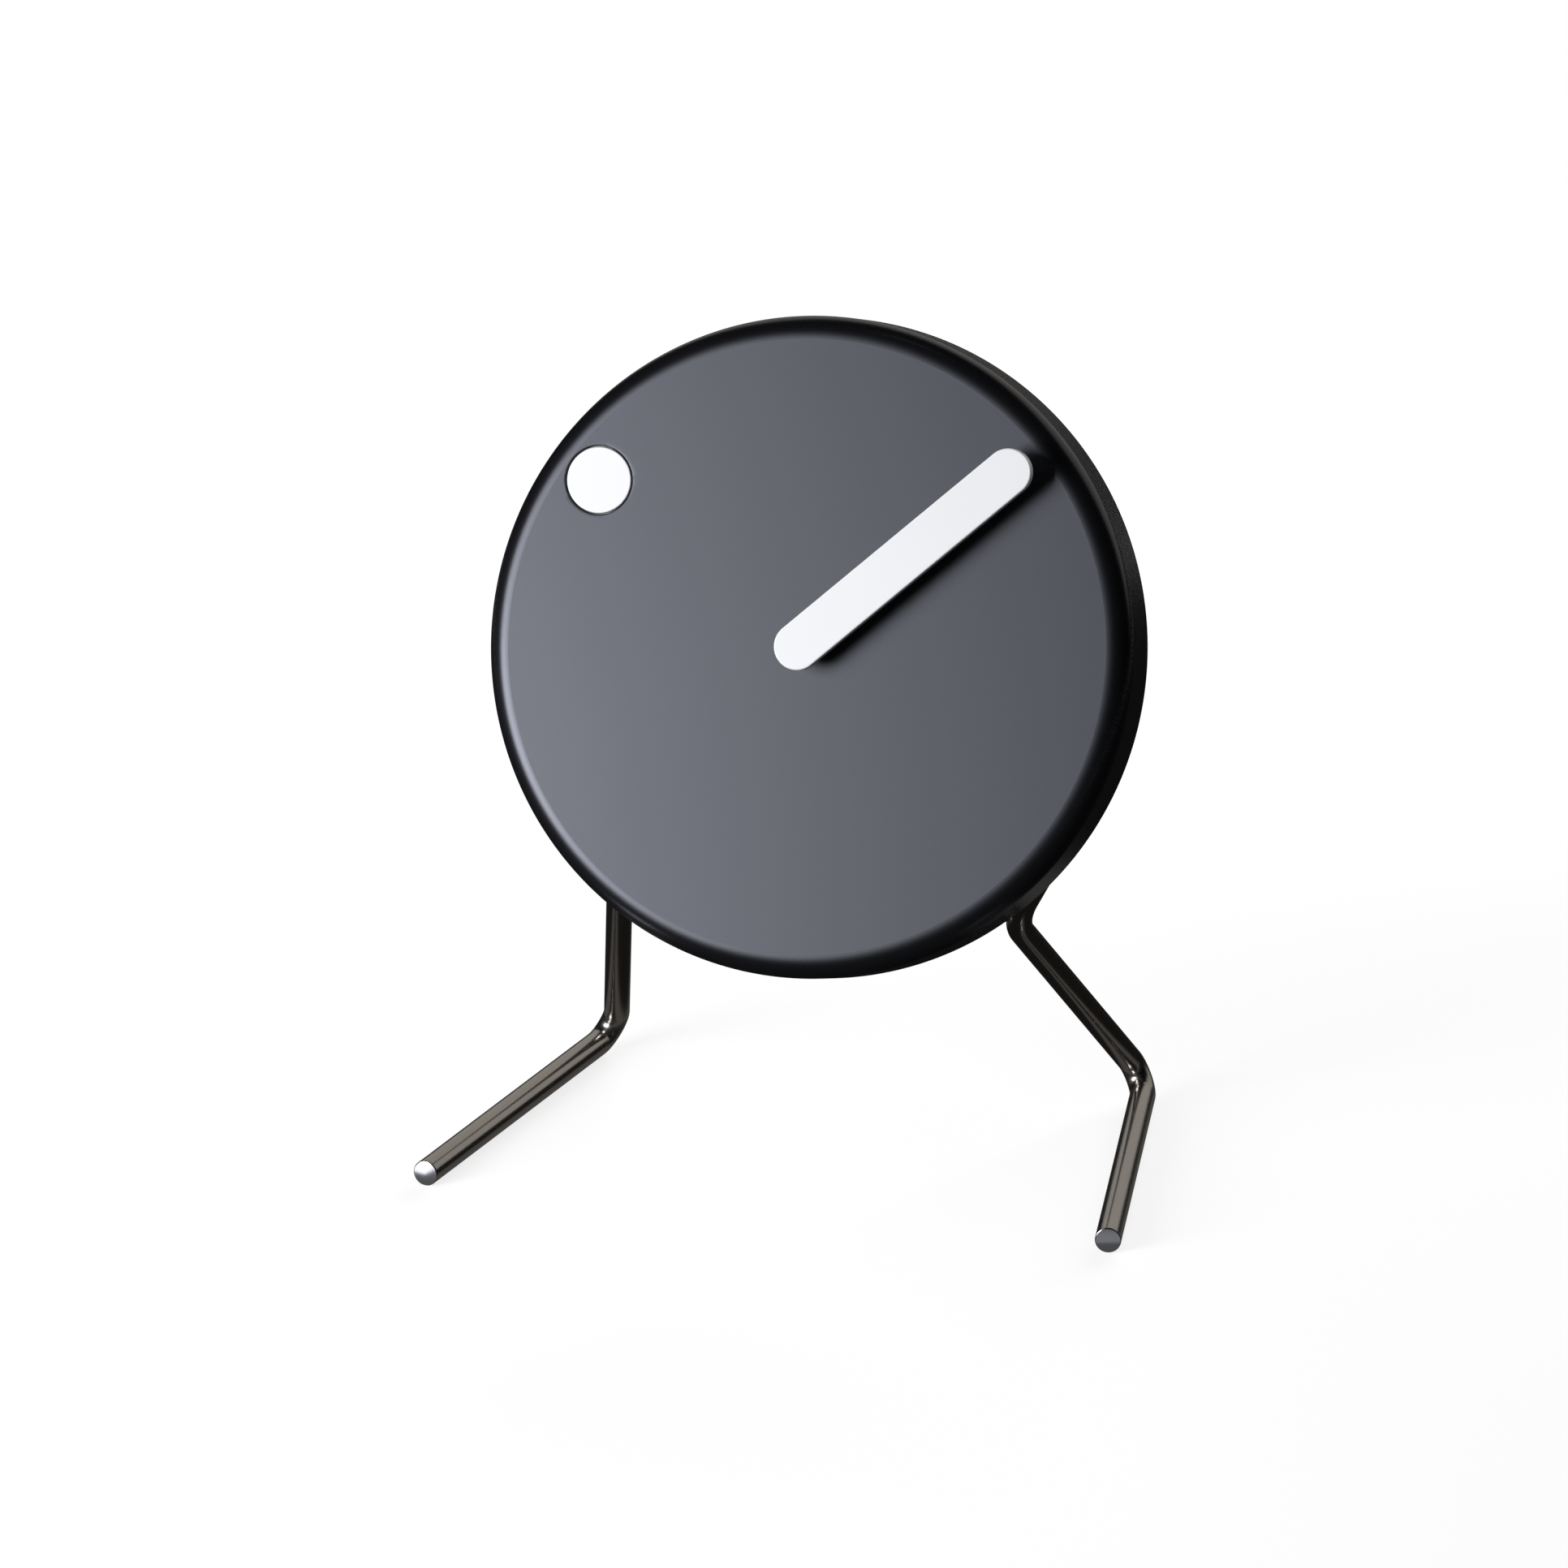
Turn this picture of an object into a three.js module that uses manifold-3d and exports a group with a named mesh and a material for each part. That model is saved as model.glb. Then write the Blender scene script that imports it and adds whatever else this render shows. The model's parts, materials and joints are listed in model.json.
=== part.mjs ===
// A table clock: a round body leans back on two bent rod feet. The whole outer shell turns once in twelve
// hours and carries a white dot, which is the hour mark, and a round-ended bar is the minute hand.
// All lengths are millimetres. The clock stands on the plane z = 0 and looks towards -Y.
// Pieces of the head are drawn in the head's own axes: x to the right and y up in the face, z out of the
// face, with z = 0 halfway through the body.
import * as THREE from "three";
import { mergeVertices } from "three/addons/utils/BufferGeometryUtils.js";
import Module from "manifold-3d";

const wasm = await Module();
wasm.setup();

// Fits shared by all pieces
const clearance = 0.3; // between pieces that touch or are pressed together
const runningGap = 0.6; // between the turning shell and the fixed back cover
const overrun = 1; // how far a cutting solid passes the face that it cuts
const weldTolerance = 0.0001; // vertices closer than this are one vertex

// Body
const bodyDiameter = 150;
const edgeRadius = 5.3;
const shellWall = 1.8;
const bodyTilt = THREE.MathUtils.degToRad(19.3);
const bodyCentreHeight = 121.5;
const coverThickness = 1.5;
const coverRibWidth = 1.6;
const coverRibHeight = 3;
const coverBossWall = 1.4; // plastic round each clip screw, inside the cover

// Hour mark
const dotDiameter = 15;
const dotEdgeGap = 0.7; // from the dot to the start of the body's rounded edge
const dotAngle = THREE.MathUtils.degToRad(147); // counter-clockwise from +x, seen from the front
const dotFlangeWidth = 1.6;
const dotFlangeThickness = 0.8;

// Minute hand
const handWidth = 10.7;
const handEndInset = 12.4; // from the body's outline in to the centre of the round far end
const handThickness = 2.5;
const handEdgeRadius = 0.4;
const handStandoff = 6; // from the face to the underside of the hand
const handAngle = THREE.MathUtils.degToRad(43.7);
const handHubRadius = 2.8;

// Rod stand: measured from the body's centre, to the rod's centre line
const rodDiameter = 6;
const rodStandoff = 3.75; // from the body's back to the rod
const hoopInset = 8; // from the body's outline in to the hoop
const hoopTouchAngle = THREE.MathUtils.degToRad(-25.7); // where the straight runs leave the hoop
const topBendRun = 32.2; // from there down to the top bend
const topBendRadius = 7.6;
const rearBendHalfWidth = 63.6;
const rearBendReach = 55.5;
const rearBendRadius = 5;
const footEndHalfWidth = 80.1;
const footEndReach = 46.2;

// Clips that hold the rod to the back cover
const clipWidth = 11;
const clipScrewMargin = 1; // between the strap's round part and the screw's head
const clipTabMargin = 1.6; // from the screw's head to the clip's inner end
const clipEdge = 1.8; // how far the saddle reaches out past the rod's centre line
const clipTabRise = 1; // from the rod's centre line to the strap's tab
const strapThickness = 0.8;
const strapRodGap = 0.6; // the rod is round the body, the strap is straight
const clipAngles = [90, -5, 185].map(THREE.MathUtils.degToRad);
const clipNames = ["top", "right", "left"];

// Screws
const screwRadius = 1.5;
const screwHeadRadius = 3;
const screwHeadHeight = 1.7;
const screwSlotWidth = 0.7;
const screwSlotDepth = 0.8;

// Quartz movement
const caseWall = 1.2;
const frontPlateThickness = 1;
const bushRadius = 4;
const bushProud = 0.1; // how far the threaded bush stands past its nut
const bridgeThickness = 1;
const bridgeWidth = 14;
const postGap = 1.8; // from the case to a post
const bridgeScrewLength = 9;
const postRadius = 3.2;
const nutAcrossFlats = 12;
const nutThickness = 1.2;
const pivotDepth = 0.9; // how deep a bearing hole goes into its wall

// Gear train: modules are pitch diameter over teeth
const motionModule = 0.5;
const centrePinionTeeth = 10;
const motionWheelTeeth = 30;
const motionPinionTeeth = 8;
const hourWheelTeeth = 32;
const setterTeeth = 15;
const centreModule = 0.35;
const centreWheelTeeth = 60;
const thirdPinionTeeth = 8;
const rotorModule = 0.24;
const thirdWheelTeeth = 64;
const rotorPinionTeeth = 8;
const wheelThickness = 1.1;
const levelGap = 0.6; // between wheels at neighbouring levels
const pinionProud = 0.3; // a pinion is this much longer than its wheel, at each side
const motionWheelAngle = THREE.MathUtils.degToRad(150);
const setterAngle = THREE.MathUtils.degToRad(120);
const thirdWheelAngle = THREE.MathUtils.degToRad(20);
const rotorAngle = THREE.MathUtils.degToRad(70);
const minuteArborRadius = 1.5;
const minuteCollarRadius = 1.9;
const minuteCollarThickness = 0.9;
const hourPipeWall = 0.6;
const hourPipeGap = 0.4; // running gap round the minute arbor
const hourPipeProud = 1.4; // past the face
const motionStudRadius = 0.6;
const thirdArborRadius = 0.6;
const rotorArborRadius = 0.45;
const setterStemRadius = 1.2;
const clutchRadius = 6;
const clutchArmWidth = 2;
const clutchThickness = 0.4;
const hubFlangeRadius = 9;
const hubFlangeThickness = 0.7;
const hubWall = 0.6;
const hubProud = 1; // past the face
const knobRadius = 5;
const knobThickness = 3.4;
const knobFluteDepth = 0.5;
const knobFlutes = 12;

// Stepping motor and circuit
const magnetRadius = 2.8;
const magnetLength = 3;
const statorThickness = 1;
const statorAir = 0.5; // between the magnet and the stator
const statorBand = 1.3; // iron left around the rotor hole
const statorArmWidth = 3.4;
const statorLeft = -6; // x of the stator's left end
const coilRadius = 2.6;
const coilWindingRadius = 2.2;
const coilFlangeThickness = 0.8;
const coilCoreSide = 1.2;
const coilPostRadius = 1.4;
const boardWidth = 6.2;
const boardThickness = 0.8;
const crystalRadius = 1;
const crystalLength = 6;
const chipRadius = 2.2;
const chipHeight = 0.9;

// Battery, size AA, and its bay
const batteryRadius = 7;
const batteryLength = 50.5;
const batteryNubRadius = 2.7;
const batteryNubLength = 1.2;
const contactThickness = 0.5;
const contactHeight = 9;
const contactBow = 0.9;
const doorHingeInset = 1.25; // from the back face in to the hinge axis
const doorHingeGap = 0.4;
const doorPinRadius = 0.5;
const doorPinLength = 1.6;
const doorLugThickness = 2.6;
const doorLugLength = 2.5;
const doorGripCount = 3;
const doorGripHeight = 0.6;
const doorGripWidth = 1;
const doorGripPitch = 2.4;
const doorGripLength = 16;
const doorEndMargin = 1.2; // the door is this much longer than the battery bay, at each end

// Fineness of the faceted shapes
const shellSegments = 64;
const cornerSteps = 3;
const rodSides = 12;
const bendSteps = 6;
const hoopSteps = 15;
const grooveSteps = 12;
const smallSegments = 16;

const steel = new THREE.MeshStandardMaterial({ color: 0xb9bcc6, roughness: 0.15, metalness: 1 });
const black = new THREE.MeshStandardMaterial({ color: 0x24262b, roughness: 0.55, metalness: 0 });
const darkPlastic = new THREE.MeshStandardMaterial({ color: 0x17181b, roughness: 0.6, metalness: 0 });
const white = new THREE.MeshStandardMaterial({ color: 0xf2f2f0, roughness: 0.4, metalness: 0 });
const brass = new THREE.MeshStandardMaterial({ color: 0xc9a55b, roughness: 0.3, metalness: 1 });
const palePlastic = new THREE.MeshStandardMaterial({ color: 0xe4e2da, roughness: 0.5, metalness: 0 });
const zinc = new THREE.MeshStandardMaterial({ color: 0xa9adb1, roughness: 0.35, metalness: 1 });
const copper = new THREE.MeshStandardMaterial({ color: 0xb4622f, roughness: 0.35, metalness: 1 });
const magnetGrey = new THREE.MeshStandardMaterial({ color: 0x4b4a4c, roughness: 0.5, metalness: 0.6 });
const boardGreen = new THREE.MeshStandardMaterial({ color: 0x2c6b45, roughness: 0.5, metalness: 0 });
const cellBlue = new THREE.MeshStandardMaterial({ color: 0x35506f, roughness: 0.4, metalness: 0.3 });

// Depths, added up from the front: the movement is as deep as its wheels or its battery need, and the body
// is just deep enough for the movement
const total = (depths) => depths.reduce((sum, depth) => sum + depth);
const hourAndMotionDepth = 2 * (levelGap + wheelThickness) + pinionProud;
const clutchDepth = clearance + clutchThickness + clearance;
const centreAndThirdDepth = wheelThickness + levelGap + wheelThickness + pinionProud;
const magnetDepth = levelGap + magnetLength + runningGap;
const trainDepth = total([hourAndMotionDepth, clutchDepth, centreAndThirdDepth, magnetDepth, caseWall]);
const batteryDepth = 2 * batteryRadius + clearance;
const movementDepth = frontPlateThickness + Math.max(trainDepth, batteryDepth);
const hubDepth = clearance + hubFlangeThickness + clearance + bushProud + nutThickness;
const bridgeDepth = clearance + bridgeThickness + clearance;
const bodyThickness = total([shellWall, hubDepth, bridgeDepth, movementDepth, clearance, coverThickness]);

// Levels along the head's z axis, from the back to the front
const bodyRadius = bodyDiameter / 2;
const frontZ = bodyThickness / 2;
const backZ = -frontZ;
const faceInnerZ = frontZ - shellWall;
const coverInnerZ = backZ + coverThickness;
const movementBackZ = coverInnerZ + clearance;
const movementFrontZ = movementBackZ + movementDepth;
const floorZ = movementBackZ + caseWall;
const plateBackZ = movementFrontZ - frontPlateThickness;
const tubTopZ = plateBackZ - clearance;
const bridgeBackZ = movementFrontZ + clearance;
const bridgeFrontZ = bridgeBackZ + bridgeThickness;
const nutBackZ = bridgeFrontZ + clearance;
const nutFrontZ = nutBackZ + nutThickness;
const hubFlangeFrontZ = faceInnerZ - clearance;
const handBackZ = frontZ + handStandoff;
const arborTopZ = handBackZ - clearance - clearance;
const pivotReach = pivotDepth - clearance;

const hourWheelZ = [plateBackZ - levelGap - wheelThickness, plateBackZ - levelGap];
const motionWheelZ = [hourWheelZ[0] - levelGap - wheelThickness, hourWheelZ[0] - levelGap];
const centrePinionZ = [motionWheelZ[0] - pinionProud, motionWheelZ[1] + pinionProud];
const motionPinionZ = [motionWheelZ[1], hourWheelZ[1] + pinionProud / 2];
const clutchZ = [centrePinionZ[0] - clearance - clutchThickness, centrePinionZ[0] - clearance];
const centreWheelZ = [clutchZ[0] - clearance - wheelThickness, clutchZ[0] - clearance];
const collarZ = [centreWheelZ[0] - clearance - minuteCollarThickness, centreWheelZ[0] - clearance];
const thirdPinionZ = [centreWheelZ[0] - pinionProud, centreWheelZ[1] + pinionProud];
const thirdWheelZ = [centreWheelZ[0] - levelGap - wheelThickness, centreWheelZ[0] - levelGap];
const rotorPinionZ = [thirdWheelZ[0] - pinionProud, thirdWheelZ[1] + pinionProud];
const magnetZ = [rotorPinionZ[0] - levelGap - magnetLength, rotorPinionZ[0] - levelGap];
const statorZ = [
  (magnetZ[0] + magnetZ[1] - statorThickness) / 2,
  (magnetZ[0] + magnetZ[1] + statorThickness) / 2,
];

// Places in the face plane
const polar = (radius, angle) => new THREE.Vector2(radius * Math.cos(angle), radius * Math.sin(angle));
const pitchRadius = (teeth, gearModule) => (teeth * gearModule) / 2;
const centreDistance = (teethA, teethB, gearModule) => ((teethA + teethB) * gearModule) / 2;
const centreAxis = new THREE.Vector2(0, 0);
const motionAxis = polar(centreDistance(centrePinionTeeth, motionWheelTeeth, motionModule), motionWheelAngle);
const setterOffset = polar(centreDistance(motionWheelTeeth, setterTeeth, motionModule), setterAngle);
const setterAxis = setterOffset.add(motionAxis);
const thirdAxis = polar(centreDistance(centreWheelTeeth, thirdPinionTeeth, centreModule), thirdWheelAngle);
const rotorOffset = polar(centreDistance(thirdWheelTeeth, rotorPinionTeeth, rotorModule), rotorAngle);
const rotorAxis = rotorOffset.add(thirdAxis);
// the battery and its contacts just fit between the side walls, and its bay is below the centre wheel
const innerHalf = (batteryLength + contactBow + 2 * contactThickness + 4 * clearance) / 2;
const caseHalf = innerHalf + caseWall;
const trainBottomY = -pitchRadius(centreWheelTeeth, centreModule) - centreModule - clearance;
const bayTopY = trainBottomY - caseWall;
const batteryY = bayTopY - clearance - batteryRadius;
const bayBottomY = batteryY - batteryRadius - clearance;
const caseHeights = [bayBottomY - caseWall, caseHalf];
const postReach = caseHalf + postGap + postRadius;
const batteryZ = coverInnerZ + clearance + batteryRadius;
const hourPipeInner = minuteArborRadius + hourPipeGap;
const hourPipeOuter = hourPipeInner + hourPipeWall;
const hubInner = hourPipeOuter + clearance;
const hubOuter = hubInner + hubWall;
const faceHoleRadius = hubOuter + clearance;
const dotOrbitRadius = bodyRadius - edgeRadius - dotEdgeGap - dotDiameter / 2;
const handReach = bodyRadius - handEndInset;
const rodRadius = rodDiameter / 2;
const rodZ = backZ - rodStandoff - rodRadius;
const hoopRadius = bodyRadius - hoopInset;
const grooveRadius = rodRadius + strapRodGap;
const clipScrewRadius = hoopRadius - grooveRadius - strapThickness - clipScrewMargin - screwHeadRadius;
const clipInnerRadius = clipScrewRadius - screwHeadRadius - clipTabMargin;

// Solids, and how they are joined and cut

function solid(geometry) {
  const bare = geometry.index ? geometry.clone() : geometry;
  bare.deleteAttribute("normal");
  bare.deleteAttribute("uv");
  const merged = mergeVertices(bare, weldTolerance);
  return new wasm.Manifold(
    new wasm.Mesh({
      numProp: 3,
      vertProperties: merged.attributes.position.array,
      triVerts: new Uint32Array(merged.index.array),
    }),
  );
}

function geometryOf(body) {
  const mesh = body.getMesh();
  return new THREE.BufferGeometry()
    .setAttribute("position", new THREE.BufferAttribute(mesh.vertProperties, 3))
    .setIndex(new THREE.BufferAttribute(mesh.triVerts, 1));
}

function cylinder(radius, [from, to], at = centreAxis, segments = smallSegments) {
  const geometry = new THREE.CylinderGeometry(radius, radius, to - from, segments);
  return solid(geometry.rotateX(Math.PI / 2).translate(at.x, at.y, (from + to) / 2));
}

function tube(outer, inner, levels, at = centreAxis, segments = smallSegments) {
  const [from, to] = levels;
  return cylinder(outer, levels, at, segments).subtract(
    cylinder(inner, [from - overrun, to + overrun], at, segments),
  );
}

function box([x0, x1], [y0, y1], [z0, z1]) {
  const geometry = new THREE.BoxGeometry(x1 - x0, y1 - y0, z1 - z0);
  return solid(geometry.translate((x0 + x1) / 2, (y0 + y1) / 2, (z0 + z1) / 2));
}

function plate(shape, [from, to], curveSegments = smallSegments) {
  const geometry = new THREE.ExtrudeGeometry(shape, {
    depth: to - from,
    bevelEnabled: false,
    curveSegments,
  });
  return solid(geometry.translate(0, 0, from));
}

function turned(profile, segments = smallSegments) {
  return solid(new THREE.LatheGeometry(profile, segments).rotateX(Math.PI / 2));
}

function cut(body, tools) {
  return tools.reduce((rest, tool) => rest.subtract(tool), body);
}

function join(bodies) {
  return bodies.reduce((sum, body) => sum.add(body));
}

// Points of a quarter circle from startAngle to endAngle about (x, y).
function arcPoints(x, y, radius, startAngle, endAngle) {
  return Array.from({ length: cornerSteps + 1 }, (_, i) => {
    const angle = startAngle + ((endAngle - startAngle) * i) / cornerSteps;
    return new THREE.Vector2(x + radius * Math.cos(angle), y + radius * Math.sin(angle));
  });
}

// The outer shell, turned about the body's axis: face, rounded rim and the lip round the open back

function hourShell() {
  const arcX = bodyRadius - edgeRadius;
  const arcY = frontZ - edgeRadius;
  const innerRadius = edgeRadius - shellWall;
  const profile = [
    new THREE.Vector2(faceHoleRadius, faceInnerZ),
    ...arcPoints(arcX, arcY, innerRadius, Math.PI / 2, 0),
    ...arcPoints(arcX, -arcY, innerRadius, 0, -Math.PI / 2),
    ...arcPoints(arcX, -arcY, edgeRadius, -Math.PI / 2, 0),
    ...arcPoints(arcX, arcY, edgeRadius, 0, Math.PI / 2),
    new THREE.Vector2(faceHoleRadius, frontZ),
    new THREE.Vector2(faceHoleRadius, faceInnerZ),
  ];
  const dotHole = cylinder(
    dotDiameter / 2 + clearance,
    [faceInnerZ - overrun, frontZ + overrun],
    polar(dotOrbitRadius, dotAngle),
    2 * smallSegments,
  );
  return turned(profile, shellSegments).subtract(dotHole);
}

function hourDot() {
  const at = polar(dotOrbitRadius, dotAngle);
  const flangeFront = faceInnerZ - clearance;
  const flangeBack = flangeFront - dotFlangeThickness;
  return join([
    cylinder(dotDiameter / 2, [flangeBack, frontZ], at, 2 * smallSegments),
    cylinder(dotDiameter / 2 + dotFlangeWidth, [flangeBack, flangeFront], at, smallSegments),
  ]);
}

function shellHub() {
  const back = hubFlangeFrontZ - hubFlangeThickness;
  return join([
    tube(hubOuter, hubInner, [back, frontZ + hubProud]),
    tube(hubFlangeRadius, hubInner, [back, hubFlangeFrontZ]),
  ]);
}

// Minute hand: a bar with round ends and eased edges, on a pressed hub

function minuteHand() {
  const radius = handWidth / 2 - handEdgeRadius;
  const shape = new THREE.Shape();
  shape.absarc(0, 0, radius, Math.PI / 2, (3 * Math.PI) / 2, false);
  shape.absarc(handReach, 0, radius, -Math.PI / 2, Math.PI / 2, false);
  const geometry = new THREE.ExtrudeGeometry(shape, {
    depth: handThickness - 2 * handEdgeRadius,
    bevelEnabled: true,
    bevelThickness: handEdgeRadius,
    bevelSize: handEdgeRadius,
    bevelSegments: 2,
    curveSegments: smallSegments / 2,
  });
  return solid(geometry.translate(0, 0, handBackZ + handEdgeRadius).rotateZ(handAngle));
}

function handHub() {
  const levels = [frontZ + hourPipeProud + clearance, handBackZ - clearance];
  return tube(handHubRadius, minuteArborRadius + clearance, levels);
}

// Rod stand: one bent rod. Half of it is swept from a foot's front end to the hoop's top, then mirrored.

const headMatrix = new THREE.Matrix4()
  .makeRotationX(Math.PI / 2 - bodyTilt)
  .setPosition(0, 0, bodyCentreHeight);

const fromHead = (x, y, z) => new THREE.Vector3(x, y, z).applyMatrix4(headMatrix);

// Points and tangents along a round bend at a corner between two straight runs.
function bendStations(before, corner, after, radius) {
  const into = corner.clone().sub(before).normalize();
  const out = after.clone().sub(corner).normalize();
  const turn = into.angleTo(out);
  const setback = radius * Math.tan(turn / 2);
  const start = corner.clone().addScaledVector(into, -setback);
  const axis = new THREE.Vector3().crossVectors(into, out).normalize();
  const centre = new THREE.Vector3().crossVectors(axis, into).multiplyScalar(radius).add(start);
  return Array.from({ length: bendSteps + 1 }, (_, i) => {
    const angle = (turn * i) / bendSteps;
    return {
      point: start.clone().sub(centre).applyAxisAngle(axis, angle).add(centre),
      tangent: into.clone().applyAxisAngle(axis, angle),
    };
  });
}

// A curve through given stations, so that straight runs take one step and bends take several.
class StationCurve extends THREE.Curve {
  constructor(stations) {
    super();
    this.stations = stations;
  }
  getPointAt(u) {
    return this.stations[Math.round(u * (this.stations.length - 1))].point.clone();
  }
  getTangentAt(u) {
    return this.stations[Math.round(u * (this.stations.length - 1))].tangent.clone();
  }
}

function rodStations() {
  const footEnd = new THREE.Vector3(footEndHalfWidth, -footEndReach, rodRadius);
  const rearBend = new THREE.Vector3(rearBendHalfWidth, rearBendReach, rodRadius);
  const onHoop = (angle) => fromHead(hoopRadius * Math.cos(angle), hoopRadius * Math.sin(angle), rodZ);
  // the straight run down to the top bend is a tangent of the hoop
  const touch = polar(hoopRadius, hoopTouchAngle);
  const run = polar(topBendRun, hoopTouchAngle - Math.PI / 2);
  const topBend = fromHead(touch.x + run.x, touch.y + run.y, rodZ);
  const hoop = Array.from({ length: hoopSteps + 1 }, (_, i) => {
    const angle = hoopTouchAngle + ((Math.PI / 2 - hoopTouchAngle) * i) / hoopSteps;
    const tangent = new THREE.Vector3(-Math.sin(angle), Math.cos(angle), 0).transformDirection(headMatrix);
    return { point: onHoop(angle), tangent };
  });
  const footDirection = rearBend.clone().sub(footEnd).normalize();
  return [
    { point: footEnd, tangent: footDirection },
    ...bendStations(footEnd, rearBend, topBend, rearBendRadius),
    ...bendStations(rearBend, topBend, hoop[0].point, topBendRadius),
    ...hoop,
  ];
}

function rodSection() {
  // the flats, not the corners, lie at the rod's radius, and one flat faces down under each foot
  const cornerRadius = rodRadius / Math.cos(Math.PI / rodSides);
  const corners = Array.from({ length: rodSides }, (_, i) =>
    polar(cornerRadius, ((i + 1 / 2) * 2 * Math.PI) / rodSides),
  );
  return new THREE.Shape(corners);
}

function standRod() {
  const stations = rodStations();
  const half = solid(
    new THREE.ExtrudeGeometry(rodSection(), {
      steps: stations.length - 1,
      extrudePath: new StationCurve(stations),
    }),
  );
  return half.add(half.mirror([1, 0, 0]));
}

// Rod clips: a saddle on the back cover, and a sheet strap over the rod, both shaped about its centre line

// Turns a profile drawn as (distance from the axis, z) into a bar across the rod at the given angle.
function acrossRod(shape, angle) {
  const geometry = new THREE.ExtrudeGeometry(shape, {
    depth: clipWidth,
    bevelEnabled: false,
    curveSegments: grooveSteps,
  });
  return solid(geometry.translate(0, 0, -clipWidth / 2).rotateX(Math.PI / 2).rotateZ(angle));
}

const tabFrontZ = rodZ + clipTabRise;
const tabBackZ = tabFrontZ - strapThickness;

function rodSaddle(angle) {
  const topZ = tabFrontZ + clearance;
  const footZ = backZ - clearance;
  const outer = Math.sqrt(grooveRadius ** 2 - clipEdge ** 2);
  const inner = Math.PI - Math.asin((topZ - rodZ) / grooveRadius);
  const shape = new THREE.Shape();
  shape.moveTo(clipInnerRadius, topZ);
  shape.lineTo(clipInnerRadius, footZ);
  shape.lineTo(hoopRadius + clipEdge, footZ);
  shape.lineTo(hoopRadius + clipEdge, rodZ + outer);
  shape.absarc(hoopRadius, rodZ, grooveRadius, Math.asin(outer / grooveRadius), inner, false);
  return acrossRod(shape, angle).subtract(clipScrewHole(angle));
}

function rodStrap(angle) {
  const outerRadius = grooveRadius + strapThickness;
  const innerStart = Math.PI - Math.asin(clipTabRise / grooveRadius);
  const outerEnd = Math.PI - Math.asin((tabBackZ - rodZ) / outerRadius);
  const lipAngle = 2 * Math.PI + Math.asin(clipTabRise / grooveRadius);
  const shape = new THREE.Shape();
  shape.moveTo(clipInnerRadius, tabBackZ);
  shape.lineTo(clipInnerRadius, tabFrontZ);
  shape.absarc(hoopRadius, rodZ, grooveRadius, innerStart, lipAngle, false);
  shape.absarc(hoopRadius, rodZ, outerRadius, lipAngle, outerEnd, true);
  return acrossRod(shape, angle).subtract(clipScrewHole(angle));
}

function clipScrewHole(angle) {
  const levels = [rodZ - overrun, coverInnerZ + coverRibHeight + overrun];
  return cylinder(screwRadius + clearance, levels, polar(clipScrewRadius, angle));
}

// A pan-head screw along z. headSide is +1 where the head is at the front, -1 where it is at the back.
function screw(at, seatZ, tipZ, headSide) {
  const headTop = seatZ + headSide * screwHeadHeight;
  const slotFloor = headTop - headSide * screwSlotDepth;
  const slotEnd = headTop + headSide * overrun;
  const span = (a, b) => [Math.min(a, b), Math.max(a, b)];
  return join([
    cylinder(screwHeadRadius, span(seatZ, headTop), at),
    cylinder(screwRadius, span(tipZ, headTop - headSide * screwSlotDepth), at),
  ]).subtract(
    box(
      [at.x - screwHeadRadius - overrun, at.x + screwHeadRadius + overrun],
      [at.y - screwSlotWidth / 2, at.y + screwSlotWidth / 2],
      span(slotFloor, slotEnd),
    ),
  );
}

// Back cover: a fixed disc in the shell's open back, with the posts that carry the movement

const postAxes = [-postReach, postReach].map((x) => new THREE.Vector2(x, 0));
const doorHalf = innerHalf + doorEndMargin;
const hingeY = bayBottomY - caseWall - clearance - doorHingeInset;
const hingeZ = backZ + doorHingeInset;
const doorTopY = bayTopY;

function doorHingeHole(side) {
  const hole = new THREE.CylinderGeometry(
    doorPinRadius + clearance,
    doorPinRadius + clearance,
    doorPinLength + clearance + overrun,
    smallSegments,
  ).rotateZ(Math.PI / 2);
  const middle = doorHalf + clearance + (doorPinLength + clearance - overrun) / 2;
  return solid(hole.translate(side * middle, hingeY, hingeZ));
}

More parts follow.
